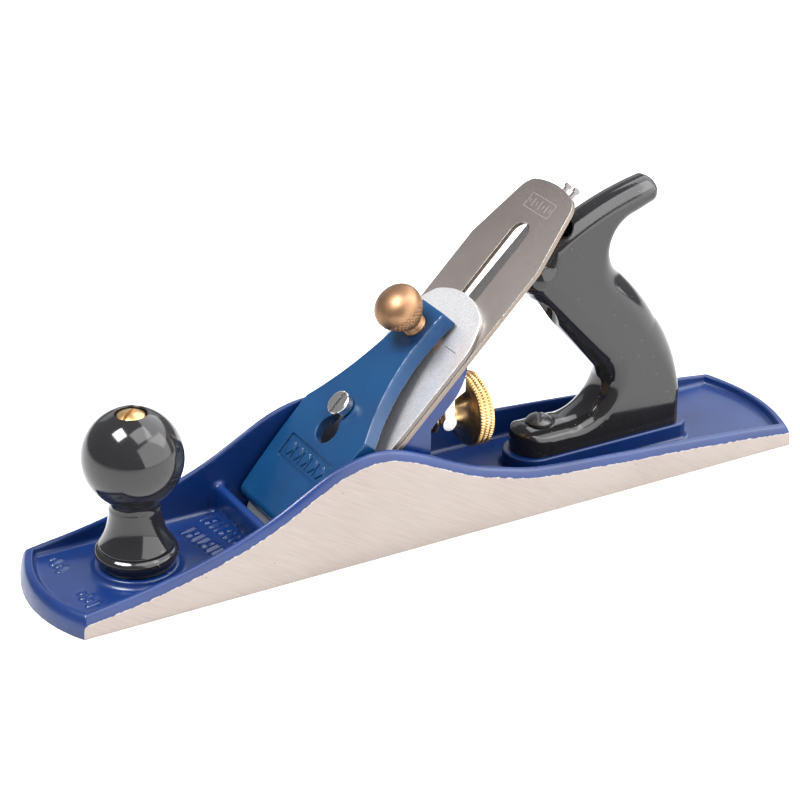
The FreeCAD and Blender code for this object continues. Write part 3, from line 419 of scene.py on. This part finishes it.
def sdf_mesh(name, field, low, step, materials, clips=(), to_row=None, adaptivity=0.0):
    """A mesh of a field's zero surface, cut flat by clip planes (point, normal, material number)."""
    at, faces = surface(field, step, adaptivity)
    build = bmesh.new()
    low = np.array(low)
    spots = [build.verts.new(point) for point in at * step + low]
    for face in faces:
        if len(set(face)) == len(face):
            try:
                build.faces.new([spots[i] for i in face])
            except ValueError:
                pass
    build.normal_update()
    if build.calc_volume(signed=True) < 0:
        bmesh.ops.reverse_faces(build, faces=build.faces)
    for point, normal, number in clips:
        geometry = build.verts[:] + build.edges[:] + build.faces[:]
        cut = bmesh.ops.bisect_plane(
            build, geom=geometry, plane_co=point, plane_no=normal, clear_outer=True, dist=1e-5
        )
        rim = [e for e in cut["geom_cut"] if isinstance(e, bmesh.types.BMEdge)]
        filled = bmesh.ops.triangle_fill(build, edges=rim, normal=normal, use_beauty=True)
        for face in filled["geom"]:
            if isinstance(face, bmesh.types.BMFace):
                face.material_index = number
                if face.normal.dot(Vector(normal)) < 0:
                    face.normal_flip()
    mesh = bpy.data.meshes.new(name)
    build.to_mesh(mesh)
    build.free()
    for material in materials:
        mesh.materials.append(material)

    count = len(mesh.vertices)
    co = np.empty(count * 3)
    mesh.vertices.foreach_get("co", co)
    co = co.reshape(-1, 3)
    normals = gradient(field, (co - low) / step)
    if to_row is not None:
        turn, offset = to_row
        co = co @ turn.T + offset
        normals = normals @ turn.T
        mesh.vertices.foreach_set("co", co.ravel())
    mesh.vertices.foreach_set("co", (co * MM).ravel())
    mesh.update()
    normals /= np.maximum(np.linalg.norm(normals, axis=1), 1e-9)[:, None]

    polygons = len(mesh.polygons)
    face_normals = np.empty(polygons * 3)
    mesh.polygons.foreach_get("normal", face_normals)
    face_normals = face_normals.reshape(-1, 3)
    numbers = np.empty(polygons, int)
    mesh.polygons.foreach_get("material_index", numbers)
    totals = np.empty(polygons, int)
    mesh.polygons.foreach_get("loop_total", totals)
    loop_face = np.repeat(np.arange(polygons), totals)
    loop_vertex = np.empty(len(mesh.loops), int)
    mesh.loops.foreach_get("vertex_index", loop_vertex)
    loop_normals = normals[loop_vertex]
    facing = (loop_normals * face_normals[loop_face]).sum(axis=1)
    # cut faces, and corners where the field turns away from the face, keep the face's own normal
    flat = (numbers[loop_face] > 0) | (facing < FACE_NORMAL_BELOW)
    loop_normals = np.where(flat[:, None], face_normals[loop_face], loop_normals)
    mesh.polygons.foreach_set("use_smooth", [True] * polygons)
    mesh.normals_split_custom_set(loop_normals.tolist())
    return mesh


def add_piece(name, mesh, body, replaces=None):
    piece = bpy.data.objects.new(name, mesh)
    bpy.context.scene.collection.objects.link(piece)
    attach(piece, body)
    if replaces:
        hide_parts(replaces)
    return piece


def soften(piece, width, limit=32):
    """Small rounded edges, then normals that keep the broad faces flat."""
    bevel = piece.modifiers.new("edges", "BEVEL")
    bevel.limit_method = "ANGLE"
    bevel.angle_limit = math.radians(limit)
    bevel.width = width * MM
    bevel.segments = 2
    bevel.use_clamp_overlap = True
    weighted = piece.modifiers.new("normals", "WEIGHTED_NORMAL")
    weighted.keep_sharp = False


def keep(node, material, width):
    """A CAD node that stays: real edges on its mesh and a procedural finish."""
    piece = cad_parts[node]
    mesh = piece.data
    mesh.materials.clear()
    mesh.materials.append(material)
    mesh.polygons.foreach_set("material_index", [0] * len(mesh.polygons))
    mesh.polygons.foreach_set("use_smooth", [True] * len(mesh.polygons))
    for attribute in ("custom_normal", "sharp_edge", "sharp_face"):
        if attribute in mesh.attributes:
            mesh.attributes.remove(mesh.attributes[attribute])
    weld = piece.modifiers.new("weld", "WELD")
    weld.merge_threshold = 0.00001
    flat = piece.modifiers.new("flat", "DECIMATE")
    flat.decimate_type = "DISSOLVE"
    flat.angle_limit = math.radians(0.6)
    soften(piece, width)


def bed_frame():
    """(turn, offset) from (along, across, off) on the bed to the row frame."""
    turn = np.array([[-ROOT_HALF, 0, ROOT_HALF], [0, 1, 0], [ROOT_HALF, 0, ROOT_HALF]])
    return turn, np.array([EDGE_ALONG, 0, 0])


# ---------------------------------------------------------------- sole casting

HALF_LENGTH = 177.8
HALF_WIDTH = 31.75
FLOOR = 6.0
WALL = 4.0
RIM_ROUND = 3.6
RIM_STRETCH = 2.0
RIM_SMOOTHING = 10.0
TOE_RADIUS = 62.9
HEEL_RADIUS = 73.6
PAINT_OUTSIDE = 0.4
# (x, height) of the side walls' rim before it is smoothed and rounded
WALL_LINE = (
    (-190, 8.8), (-170.6, 9.6), (-152, 12.0), (-132.5, 13.8), (-110.6, 15.6), (-89.1, 17.1), (-78.7, 18.0),
    (-48.3, 20.3), (-34.9, 21.8), (-8.5, 29.3), (2.9, 34.6), (12.1, 39.3), (18.2, 42.2), (27.1, 46.0),
    (33, 47.7), (39.6, 48.2), (48.4, 47.2), (57.1, 44.8), (65.7, 40.6), (74.4, 35.8), (83, 31.0),
    (93.2, 26.5), (101.3, 23.5), (108.4, 21.4), (120.3, 18.1), (132.1, 15.4), (143.8, 13.0),
    (155.3, 11.4), (168, 9.6), (176, 8.5), (190, 7.9),
)


def plan_distance(x, y, side, inset):
    """Distance to the sole's outline, with straight sides and the curved ends moved in by inset."""
    toe = np.hypot(np.maximum(x - (HALF_LENGTH - TOE_RADIUS), 0), y) - (TOE_RADIUS - inset)
    heel = np.hypot(np.maximum(-(HALF_LENGTH - HEEL_RADIUS) - x, 0), y) - (HEEL_RADIUS - inset)
    return np.maximum(np.abs(y) - side, np.maximum(toe, heel))


def cast_marks():
    """Raised bars on the floor: (x, y, half length along x, half length along y, turn)."""
    marks = []
    for middle, first, last, count in ((87.6, -23.5, 4.5, 9), (99.6, -17.5, 7.5, 8)):
        for index in range(count):
            y = first + (last - first) * index / (count - 1)
            x = middle - 0.12 * y
            if index % 3 == 1:
                marks.append((x - 1.9, y, 0.7, 0.7, 0.0))
                marks.append((x + 1.9, y, 0.7, 0.7, 0.0))
            else:
                marks.append((x, y, 3.1, 0.35, 0.3))
    for first, turn in ((-22.5, 0.5), (8.0, 0.2)):
        for index in range(4):
            y = first + 3.2 * index
            marks.append((159.6 - 0.25 * (index % 2), y, 2.4 if index % 2 else 0.8, 0.5, turn))
    return marks


def make_body_casting(paint, ground):
    """Sole, walls, rib, knob boss, handle pad and frog seat; paint inside, ground sides and sole."""
    root, end_wall = 1, 5.6
    rib_x, rib_half, rib_top, rib_reach = 82.3, 2.1, 18, 29
    boss_radius, boss_top = 17.3, 9
    pad_x, pad_half_length, pad_half_width, pad_top = -85.15, 43.65, 12.5, 13.5
    pad_toe_corner, pad_heel_corner = 12.4, 5.0
    seat_back, seat_half = 16, 23
    mouth_half, mouth_front, mouth_foot, mouth_top = 27.3, 75.6, 66, 9
    adjuster_radius, adjuster_back, adjuster_front = 2.6, -10, 37
    mark_window, mark_radius, mark_squash = 6, 0.75, 1.15

    low = (-HALF_LENGTH - 1.5, -33.6, -1.4)
    xs = axis_values(low[0], HALF_LENGTH + 1.5, STEP)
    ys = axis_values(low[1], 33.6, STEP)
    zs = axis_values(low[2], 51.0, STEP)
    x, y, z = xs[:, None, None], ys[None, :, None], zs[None, None, :]

    line = np.array(WALL_LINE)
    height = np.interp(xs, line[:, 0], line[:, 1])
    spread = int(RIM_SMOOTHING / STEP / 2)
    for _ in range(2):
        height = np.convolve(np.pad(height, spread, mode="edge"), np.ones(2 * spread + 1), mode="valid")
        height /= 2 * spread + 1
    slope = np.gradient(height, xs)
    height = height[:, None, None]
    lean = (1 / np.sqrt(1 + slope**2))[:, None, None]

    # the paint stands a little outside the ground sides and sole, where the clips cut it off
    rim = (z - height) * lean / RIM_STRETCH
    outer = both(plan_distance(x, y, HALF_WIDTH + PAINT_OUTSIDE, 0), rim, RIM_ROUND)
    outer = np.maximum(outer, -PAINT_OUTSIDE - z)
    cavity = both(plan_distance(x, y, HALF_WIDTH - WALL, end_wall), FLOOR - z, 2.2)
    solid = both(outer, -cavity, 0.9)

    rib = both(np.abs(x - rib_x) - rib_half, z - rib_top, 1.9)
    solid = either(solid, np.maximum(rib, np.abs(y) - rib_reach), 2.4)
    boss = both(np.hypot(x - KNOB_X, y) - boss_radius, z - boss_top, 0.8)
    solid = either(solid, np.maximum(boss, root - z), 2.8)
    px, py = np.abs(x - pad_x) - pad_half_length, np.abs(y) - pad_half_width
    corner = np.where(x > pad_x, pad_toe_corner, pad_heel_corner)
    flat = np.minimum(np.maximum(px + corner, py + corner), 0)
    pad = flat + np.hypot(np.maximum(px + corner, 0), np.maximum(py + corner, 0)) - corner
    solid = either(solid, np.maximum(both(pad, z - pad_top, 0.7), root - z), 1.8)
    # the step at front is held back from the frog's toe, which comes to it at its rear limit
    for front, top in ((45.1, 15.0), (59, 7.5)):
        seat = np.maximum(np.maximum(x - front, seat_back - x), np.maximum(np.abs(y) - seat_half, z - top))
        solid = either(solid, np.maximum(seat, root - z), 0.12)

    reach = int(mark_window / STEP)
    for mx, my, half_x, half_y, turn in cast_marks():
        ix, iy = int((mx - low[0]) / STEP), int((my - low[1]) / STEP)
        iz = int((FLOOR - low[2]) / STEP)
        window = np.s_[ix - reach : ix + reach, iy - reach : iy + reach, iz - 4 : iz + 5]
        wx, wy, wz = x[window[0]] - mx, y[:, window[1]] - my, z[:, :, window[2]] - FLOOR
        across = wx * math.cos(turn) + wy * math.sin(turn)
        down = wy * math.cos(turn) - wx * math.sin(turn)
        beyond_x, beyond_y = np.maximum(np.abs(across) - half_x, 0), np.maximum(np.abs(down) - half_y, 0)
        bar = np.sqrt(beyond_x**2 + beyond_y**2)
        bar = np.sqrt(bar**2 + (wz * mark_squash) ** 2) - mark_radius
        solid[window] = either(solid[window], bar, 0.35)

    slope_back = (mouth_foot - x - z) * ROOT_HALF
    mouth = np.maximum(np.abs(y) - mouth_half, x - mouth_front)
    mouth = np.maximum(mouth, np.maximum(slope_back, z - mouth_top))
    solid = np.maximum(solid, -mouth)
    adjuster = np.maximum(np.hypot(y, z - ADJUSTER_Z) - adjuster_radius, x - adjuster_front)
    solid = np.maximum(solid, -np.maximum(adjuster, adjuster_back - x))

    clips = (
        ((0, 0, 0), (0, 0, -1), 1),
        ((0, HALF_WIDTH, 0), (0, 1, 0), 1),
        ((0, -HALF_WIDTH, 0), (0, -1, 0), 1),
    )
    mesh = sdf_mesh("body_casting_cast", solid, low, STEP, (paint, ground), clips, adaptivity=0.015)
    add_piece("body_casting_cast", mesh, "plane_body", "body_casting")


# ---------------------------------------------------------------- handle


def make_handle(plastic):
    """The handle's side outline, blown up to a rounded grip with a crowned top."""
    base, toe_top, half = 13.55, 25.5, 11.5
    foot_x, foot_z, nut_lean, nut_radius, nut_seat = -103, 13.5, 21.4, 6.3, 97
    toe_x, toe_radius, toe_flare = -56.1, 11.6, 0.5
    screw_x, screw_radius, screw_floor = -57.5, 6.4, 24.9
    crown_x, crown_z, crown_radius, crown_roll = -131.5, -5.4, 138.5, 4.5
    outline = sample([
        (-126.8, base), (-44.6, base), (-44.6, base + 6, 6), (-50.4, toe_top), (-67.5, toe_top, -16.5),
        (-86.6, 40.3, -12), (-83.6, 46.8), (-48.6, 87.4, 9), (-52.5, 103.8, 26), (-72.0, 119.3, 138.6),
        (-105.0, 130.2, 6.2), (-107.5, 118.8), (-98.0, 115.2, -13.5), (-87.6, 103.0, -17), (-92.6, 90.4, 105),
        (-112.6, 66.0, 64), (-126.6, 27.0), (-126.8, base),
    ])
    low = (-130.5, -13.0, 11.5)
    step = STEP * 0.8
    xs = axis_values(low[0], -42.0, step)
    ys = axis_values(low[1], 13.0, step)
    zs = axis_values(low[2], 133.5, step)
    lowered = [(px, pz - 30 if pz < base + 0.1 else pz) for px, pz in outline]
    side = polygon_distance(lowered, xs, zs)[:, None, :]
    y = ys[None, :, None]
    x, z = xs[:, None, None], zs[None, None, :]

    # the grip is fully rounded; the toe and the foot keep flatter sides
    grown = np.clip((z - 30) / 22, 0, 1)
    near_top = np.clip((z - 90) / 8, 0, 1)
    slim = np.clip((z - 84) / 26, 0, 1)
    slim = slim * slim * (3 - 2 * slim)
    width = half - 2.6 * slim
    depth = 6.0 + 5.5 * grown - 6.3 * slim
    inner = np.maximum(1 + side / depth, 0)
    grip = (np.sqrt(inner**2 + (y / width) ** 2) - 1) * width * 0.82
    crown = np.hypot(x - crown_x, z - crown_z) - crown_radius + crown_roll * (y / 8.2) ** 2
    solid = both(grip, crown - 8 * (1 - near_top), 0.25)
    toe = np.hypot(np.maximum(x - toe_x, 0), y) - toe_radius - toe_flare * np.maximum(toe_x - x, 0)
    solid = both(solid, toe - 30 * np.clip((z - 45) / 10, 0, 1), 1.2)
    solid = np.maximum(solid, base - z)
    toe_well = np.maximum(np.hypot(x - screw_x, y) - screw_radius, screw_floor - z)
    solid = both(solid, -toe_well, 0.35)
    lean = math.radians(nut_lean)
    nut_axis = (x - foot_x) * math.cos(lean) - (z - foot_z) * math.sin(lean)
    nut_along = (x - foot_x) * math.sin(lean) + (z - foot_z) * math.cos(lean)
    well = np.maximum(np.hypot(nut_axis, y) - nut_radius, nut_seat - nut_along)
    solid = both(solid, -well, 0.4)
    mesh = sdf_mesh("rear_handle_grip", solid, low, step, (plastic,), adaptivity=0.004)
    add_piece("rear_handle_grip", mesh, "plane_body", "rear_handle")


# ---------------------------------------------------------------- lever cap


def make_lever_cap(paint):
    """The lever cap: hollow underneath, with its keyhole, the thumbscrew's hole and a sunk panel."""
    low_s, top_s, shoulder, half, neck = 8.0, 118.0, 57.0, 25.4, 8.75
    thumb_hole, panel_s, groove_depth, ground_depth = 5.2, 35.8, 1.1, 0.75
    lozenges, first_lozenge, lozenge_step, far_away = 5, -12.4, 6.2, 9.0
    side = sample([
        (low_s + 1.2, 5.5), (low_s + 6, 5.5), (low_s + 12, 6.8, -360), (top_s, 2.9), (top_s, 11.2, 455),
        (low_s + 3, 12.6, 3.4), (low_s, 9.6), (low_s, 7.2), (low_s + 1.2, 5.5),
    ])
    curve = sample([(shoulder, half, 106), (top_s, neck)])
    plan = [(low_s - 1, half), (low_s - 1, -half)] + [(s, -y) for s, y in curve] + curve[::-1]
    step = STEP * 0.6
    low = (6.0, -27.0, 1.0)
    ss = axis_values(low[0], 120.5, step)
    ys = axis_values(low[1], 27.0, step)
    os_ = axis_values(low[2], 17.5, step)
    profile = polygon_distance(side, ss, os_)[:, None, :]
    flat = polygon_distance(plan, ss, ys)[:, :, None]
    s, y, off = ss[:, None, None], ys[None, :, None], os_[None, None, :]
    solid = both(profile, flat, 0.7)

    wide = polygon_distance([(20, 0), (shoulder - 3, 0), (shoulder - 3, 11), (24, 10.2), (20, 8.6)], ss, os_)
    narrow = polygon_distance([(shoulder - 5, 0), (98, 0), (98, 9.4), (shoulder - 5, 10.8)], ss, os_)
    hollow = np.minimum(
        np.maximum(wide[:, None, :], np.abs(y) - 21.4), np.maximum(narrow[:, None, :], np.abs(y) - 6.3)
    )
    solid = both(solid, -hollow, 0.4)

    centre, wide_hole, slot = 51.4, 6.2, 3.55
    round_part = np.hypot(s - centre, y) - wide_hole
    slot_part = np.hypot(np.maximum(s - SCREW_ALONG, 0) + np.minimum(s - centre, 0), y) - slot
    keyhole = np.minimum(round_part, slot_part)
    solid = both(solid, -keyhole, 0.5)

    lean = math.radians(THUMB_LEAN)
    axis = (s - THUMB_ALONG) * math.cos(lean) - (off - THUMB_OFF) * math.sin(lean)
    solid = both(solid, -(np.hypot(axis, y) - thumb_hole), 0.4)

    # sunk panel with a raised generic ornament
    panel = both(np.abs(s - panel_s) - 5.6, np.abs(y) - 17.2, 1.0)
    inner = both(np.abs(s - panel_s) - 4.7, np.abs(y) - 16.3, 0.7)
    groove = np.maximum(np.maximum(panel, -inner), -groove_depth - profile)
    ground = np.maximum(inner, -ground_depth - profile)
    ornament = far_away
    for index in range(lozenges):
        place = first_lozenge + lozenge_step * index
        lozenge = (np.abs(s - panel_s) / 3.4 + np.abs(y - place) / 2.5 - 1) * 1.9
        ornament = np.minimum(ornament, lozenge)
        if index < lozenges - 1:
            bar = np.maximum(np.abs(s - panel_s) - 3.2, np.abs(y - place - lozenge_step / 2) - 0.4)
            ornament = np.minimum(ornament, bar)
    solid = np.maximum(solid, -groove)
    solid = np.maximum(solid, -np.maximum(ground, -ornament))
    mesh = sdf_mesh("lever_cap_cast", solid, low, step, (paint,), to_row=bed_frame())
    add_piece("lever_cap_cast", mesh, "cap", "lever_cap")


# ---------------------------------------------------------------- turned pieces


def lathe(name, profile, segments, place, material, relief=None):
    """Turns (radius, height) points about +Z, then moves them; relief(index, angle) adds to the radius."""
    turns = np.linspace(0, 2 * math.pi, segments, endpoint=False)
    points, rings = [], []
    for index, (radius, height) in enumerate(profile):
        if radius < 1e-6:
            rings.append([len(points)] * segments)
            points.append((0, 0, height))
            continue
        ring = []
        for angle in turns:
            r = radius + (relief(index, angle) if relief else 0)
            ring.append(len(points))
            points.append((r * math.cos(angle), r * math.sin(angle), height))
        rings.append(ring)
    faces = []
    for first, second in zip(rings, rings[1:]):
        for k in range(segments):
            n = (k + 1) % segments
            corners = []
            for corner in (first[k], first[n], second[n], second[k]):
                if corner not in corners:
                    corners.append(corner)
            if len(corners) > 2:
                faces.append(corners)
    mesh = bpy.data.meshes.new(name)
    mesh.from_pydata([place @ (Vector(p) * MM) for p in points], [], faces)
    mesh.materials.append(material)
    mesh.polygons.foreach_set("use_smooth", [True] * len(mesh.polygons))
    mesh.update()
    build = bmesh.new()
    build.from_mesh(mesh)
    bmesh.ops.recalc_face_normals(build, faces=build.faces)
    build.to_mesh(mesh)
    build.free()
    return mesh


def make_knob(plastic):
    """The turned front knob, with the recess for its nut."""
    base, centre, ball, neck, recess = 9.02, 56.0, 20.5, 10.6, 6.3
    neck_height = centre - math.sqrt(ball**2 - (neck + 0.6) ** 2)
    rim_height = centre + math.sqrt(ball**2 - (recess + 0.5) ** 2)
    profile = sample([
        (3.05, base), (14.6, base, 1.2), (15.6, base + 1.0), (16.6, base + 4.0, 2.4), (16.2, base + 7.0),
        (15.5, base + 7.5, -0.4), (15.4, base + 8.2), (15.4, base + 9.0, -26), (neck, base + 25, -5),
        (neck + 0.6, neck_height, 20.5), (recess + 0.5, rim_height, 0.8), (recess, rim_height - 0.6),
        (recess, rim_height - 3.4), (4.3, rim_height - 3.4), (4.3, rim_height - 18), (3.05, rim_height - 18),
        (3.05, base),
    ], chord=0.6)
    place = Matrix.Translation((KNOB_X * MM, 0, 0))
    mesh = lathe("front_knob_turned", profile, 160, place, plastic)
    piece = add_piece("front_knob_turned", mesh, "plane_body", "front_knob")
    soften(piece, 0.15, 38)


def make_cap_screw(nickel):
    """The lever cap's screw: a slotted cheese head with rounded edges on a plain shank."""
    head_low, head_top, head_radius, head_round = 15.4, 19.6, 5.5, 0.8
    shank, shank_end, slot, slot_floor, reach = 3.15, -8.6, 0.75, 17.6, 6.5
    step = STEP * 0.42
    low = (SCREW_ALONG - reach, -reach, -9.4)
    ss = axis_values(low[0], SCREW_ALONG + reach, step)
    ys = axis_values(low[1], reach, step)
    os_ = axis_values(low[2], head_top + 1, step)
    s, y, off = ss[:, None, None] - SCREW_ALONG, ys[None, :, None], os_[None, None, :]
    radial = np.hypot(s, y)
    middle = (head_low + head_top) / 2
    head = both(radial - head_radius, np.abs(off - middle) - (head_top - middle), head_round)
    stem = np.maximum(radial - shank, np.maximum(off - middle, shank_end - off))
    solid = np.minimum(head, stem)
    solid = both(solid, -np.maximum(np.abs(y) - slot, slot_floor - off), 0.2)
    mesh = sdf_mesh("lever_cap_screw_slotted", solid, low, step, (nickel,), to_row=bed_frame())
    add_piece("lever_cap_screw_slotted", mesh, "frog", "lever_cap_screw")


def make_depth_wheel(brass):
    """Concave front, three knurled bands, and a sleeve whose flange keeps the yoke in its groove."""
    back, height, band_width = -25.4, 0.0403, 2.35
    teeth, gap_share, gap_depth = 72, 0.4, 1.6
    bands, profile, ridged = 3, [], []

    def add(x, radius, ridge=0.0):
        profile.append((radius, x))
        ridged.append(ridge)

    for ahead, radius in ((0, 3.6), (0, 12.0), (0.1, 12.6), (0, 13.2), (0, 15.0)):
        add(back + ahead, radius)
    start = back + 0.15
    for band in range(bands):
        for ahead, radius, ridge in (
            (0, 15.35, 0), (0.05, 15.45, 0), (0.25, 15.95, 0.42), (0.70, 16.0, 0.42), (0.82, 16.0, 0.34),
            (1.15, 16.0, 0.42), (1.55, 15.95, 0.42), (1.80, 15.45, 0), (1.95, 15.3, 0),
        ):
            add(start + band * band_width + ahead, radius, ridge)
    front = start + bands * band_width
    for radius, x in sample([
        (15.0, front - 0.2), (13.6, front + 0.1, -9.5), (6.7, -11.2), (6.5, -10.8), (4.5, -10.6),
        (4.4, -10.4), (4.4, -4.1), (6.3, -4.0), (6.5, -3.8), (6.5, -2.8), (6.3, -2.6), (3.6, -2.6),
        (3.6, back),
    ], chord=0.5):
        add(x, radius)

    def relief(index, angle):
        if not ridged[index]:
            return 0.0
        phase = (angle * teeth / (2 * math.pi)) % 1.0
        return -ridged[index] * (gap_depth if phase < gap_share else 0.0)

    place = Matrix.Translation((0, 0, height)) @ Matrix(((0, 0, 1), (0, 1, 0), (-1, 0, 0))).to_4x4()
    mesh = lathe("depth_wheel_knurled", profile, teeth * 6, place, brass, relief)
    piece = add_piece("depth_wheel_knurled", mesh, "wheel", "depth_wheel")
    weighted = piece.modifiers.new("normals", "WEIGHTED_NORMAL")
    weighted.keep_sharp = False


def make_thumbscrew(brass):
    """Domed head, knurled skirt flaring up from a waist, and a thread of plain rings."""
    head, thread, thread_end, thread_depth = 10.3, 5.15, -10.2, 0.75
    around, knurl_lead, knurl_width, knurl_depth = 30, 0.42, 0.22, 0.7
    profile, kinds = [], []

    def add(radius, height, kind=""):
        profile.append((radius, height))
        kinds.append(kind)

    add(0, thread_end)
    add(3.4, thread_end)
    add(4.6, -9.2)
    pitch, height = 1.35, -8.8
    while height < 2.0:
        add(thread - thread_depth, height)
        add(thread, height + 0.42)
        add(thread, height + 0.72)
        add(thread - thread_depth, height + 1.15)
        height += pitch
    add(thread - 0.5, 2.75)
    add(thread + 0.1, 3.1)
    rows, skirt_low, skirt_top, waist = 18, 3.4, 12.2, 5.5
    for row in range(rows + 1):
        t = row / rows
        radius = waist + (head - waist) * math.sin(t * math.pi / 2) ** 0.95
        add(radius, skirt_low + (skirt_top - skirt_low) * t, "knurl" if 0 < row < rows else "")
    add(head + 0.05, skirt_top + 0.5)
    dome, dome_low, dome_top = 26, skirt_top + 0.8, 20.4
    for step in range(dome + 1):
        angle = step / dome * math.pi / 2
        add(head * math.cos(angle), dome_low + (dome_top - dome_low) * math.sin(angle))
    profile[-1] = (0, profile[-1][1])

    def relief(index, angle):
        if kinds[index] != "knurl":
            return 0.0
        height = profile[index][1]
        one = (angle * around / (2 * math.pi) + height * knurl_lead) % 1.0
        two = (angle * around / (2 * math.pi) - height * knurl_lead) % 1.0
        cut = min(abs(one - 0.5), abs(two - 0.5))
        return -knurl_depth * max(0.0, 1.0 - cut / knurl_width)

    lean = math.radians(45 - THUMB_LEAN)
    at = bed_point(THUMB_ALONG, 0, THUMB_OFF)
    place = Matrix.Translation(at) @ Matrix.Rotation(lean, 4, "Y")
    mesh = lathe("thumbscrew_knurled", profile, around * 12, place, brass, relief)
    add_piece("thumbscrew_knurled", mesh, "thumbscrew", "lever_cap_thumbscrew")


def bed_point(along, across, off):
    turn, offset = bed_frame()
    return Vector((turn @ np.array([along, across, off]) + offset) * MM)


# ---------------------------------------------------------------- marks on the irons


def bed_boxes(name, boxes, body, material):
    """Shallow bars on the bed: (along low, along high, across low, across high, off low, off high)."""
    build = bmesh.new()
    for along_low, along_high, across_low, across_high, off_low, off_high in boxes:
        verts = []
        for off, inset in ((off_low, 0.0), (off_high, 0.06)):
            for along, across in (
                (along_low + inset, across_low + inset), (along_high - inset, across_low + inset),
                (along_high - inset, across_high - inset), (along_low + inset, across_high - inset),
            ):
                verts.append(build.verts.new(bed_point(along, across, off)))
        for corners in ((0, 1, 2, 3), (4, 5, 6, 7), (0, 1, 5, 4), (1, 2, 6, 5), (2, 3, 7, 6), (3, 0, 4, 7)):
            build.faces.new([verts[i] for i in corners])
    bmesh.ops.recalc_face_normals(build, faces=build.faces)
    mesh = bpy.data.meshes.new(name)
    build.to_mesh(mesh)
    build.free()
    mesh.materials.append(material)
    add_piece(name, mesh, body)


def make_iron_marks(light, dark):
    """A framed row of bars near the iron's top, and a scribed line on the cap iron."""
    boxes = []
    low, high, reach, width = 174.6, 181.4, 8.8, 0.11
    middle, bar_width, sunk, raised = 178, 0.13, -0.05, 0.03
    for along in (low, high):
        boxes.append((along - width, along + width, -reach, reach, sunk, raised))
    for across in (-reach, reach):
        boxes.append((low, high, across - width, across + width, sunk, raised))
    for index in range(7):
        across = -7.2 + 2.4 * index
        half = 2.0 if index % 2 else 0.9
        span = (middle - half, middle + half)
        boxes.append((*span, across - bar_width, across + bar_width, sunk, raised))
    bed_boxes("iron_etched_frame", boxes, "irons", light)
    line = [(107.8, 108.2, 10.9, 19.0, 2.05, 2.13)]
    bed_boxes("cap_iron_scribed_line", line, "irons", dark)


# ---------------------------------------------------------------- everything

make_camera()
make_studio()

casting_paint = paint_material("blue_enamel", (0.0025, 0.016, 0.085), (0.003, 0.023, 0.115))
cap_paint = paint_material("blue_enamel_cap", (0.0025, 0.032, 0.095), (0.003, 0.043, 0.125))
ground = ground_material()
plastic = plastic_material()
iron_steel = iron_material()
# the cap iron's edge colour is painted shade on its side faces
cap_iron_steel = brushed_material(
    "cap_iron_steel", (0.42, 0.405, 0.41), (0.88, 0.87, 0.87), 0.44, metallic=0.86, edge=(0.16, 0.14, 0.13)
)
plain_steel = brushed_material("plain_steel", (0.50, 0.49, 0.48), (0.70, 0.69, 0.68), 0.28, UPRIGHT)
lever_steel = brushed_material("lever_steel", (0.17, 0.16, 0.155), (0.27, 0.255, 0.25), 0.36, UPRIGHT)
nickel = brushed_material("nickel_plate", (0.62, 0.60, 0.57), (0.74, 0.72, 0.69), 0.16, UPRIGHT, 1.0)
dark_steel = brushed_material("dark_steel", (0.045, 0.043, 0.045), (0.10, 0.10, 0.10), 0.34, UPRIGHT, 0.9)
brass = brass_material("brass_satin", (0.42, 0.25, 0.10), (0.66, 0.44, 0.21), 0.32)
brown_brass = brass_material("brass_brown", (0.22, 0.125, 0.068), (0.31, 0.18, 0.10), 0.44)
etched = brushed_material("etched_light", (0.40, 0.37, 0.35), (0.50, 0.47, 0.45), 0.5, UPRIGHT, 0.8)
scribed = brushed_material("scribed_dark", (0.02, 0.02, 0.02), (0.05, 0.05, 0.05), 0.6, UPRIGHT, 0.2)

make_body_casting(casting_paint, ground)
make_handle(plastic)
make_lever_cap(cap_paint)
make_knob(plastic)
make_depth_wheel(brass)
make_thumbscrew(brown_brass)
make_cap_screw(nickel)
make_iron_marks(etched, scribed)

for node, material, width in (
    ("frog_casting", casting_paint, 0.5),
    ("cutting_iron", iron_steel, 0.22),
    ("cap_iron", cap_iron_steel, 0.25),
    ("yoke_lever", plain_steel, 0.35),
    ("yoke_pin", plain_steel, 0.2),
    ("lateral_lever", lever_steel, 0.2),
    ("lateral_rivet", plain_steel, 0.2),
    ("lateral_roller", plain_steel, 0.2),
    ("frog_adjust_clip", plain_steel, 0.2),
    ("depth_stud", plain_steel, 0.2),
    ("knob_bolt", plain_steel, 0.2),
    ("handle_bolt", plain_steel, 0.2),
    ("handle_toe_screw", dark_steel, 0.25),
    ("frog_seat_screws", dark_steel, 0.2),
    ("frog_seat_washers", dark_steel, 0.15),
    ("frog_clip_screw", dark_steel, 0.2),
    ("frog_adjust_screw", dark_steel, 0.2),
    ("cap_iron_screw", dark_steel, 0.2),
    ("knob_nut", brass, 0.25),
    ("handle_nut", brass, 0.25),
):
    keep(node, material, width)
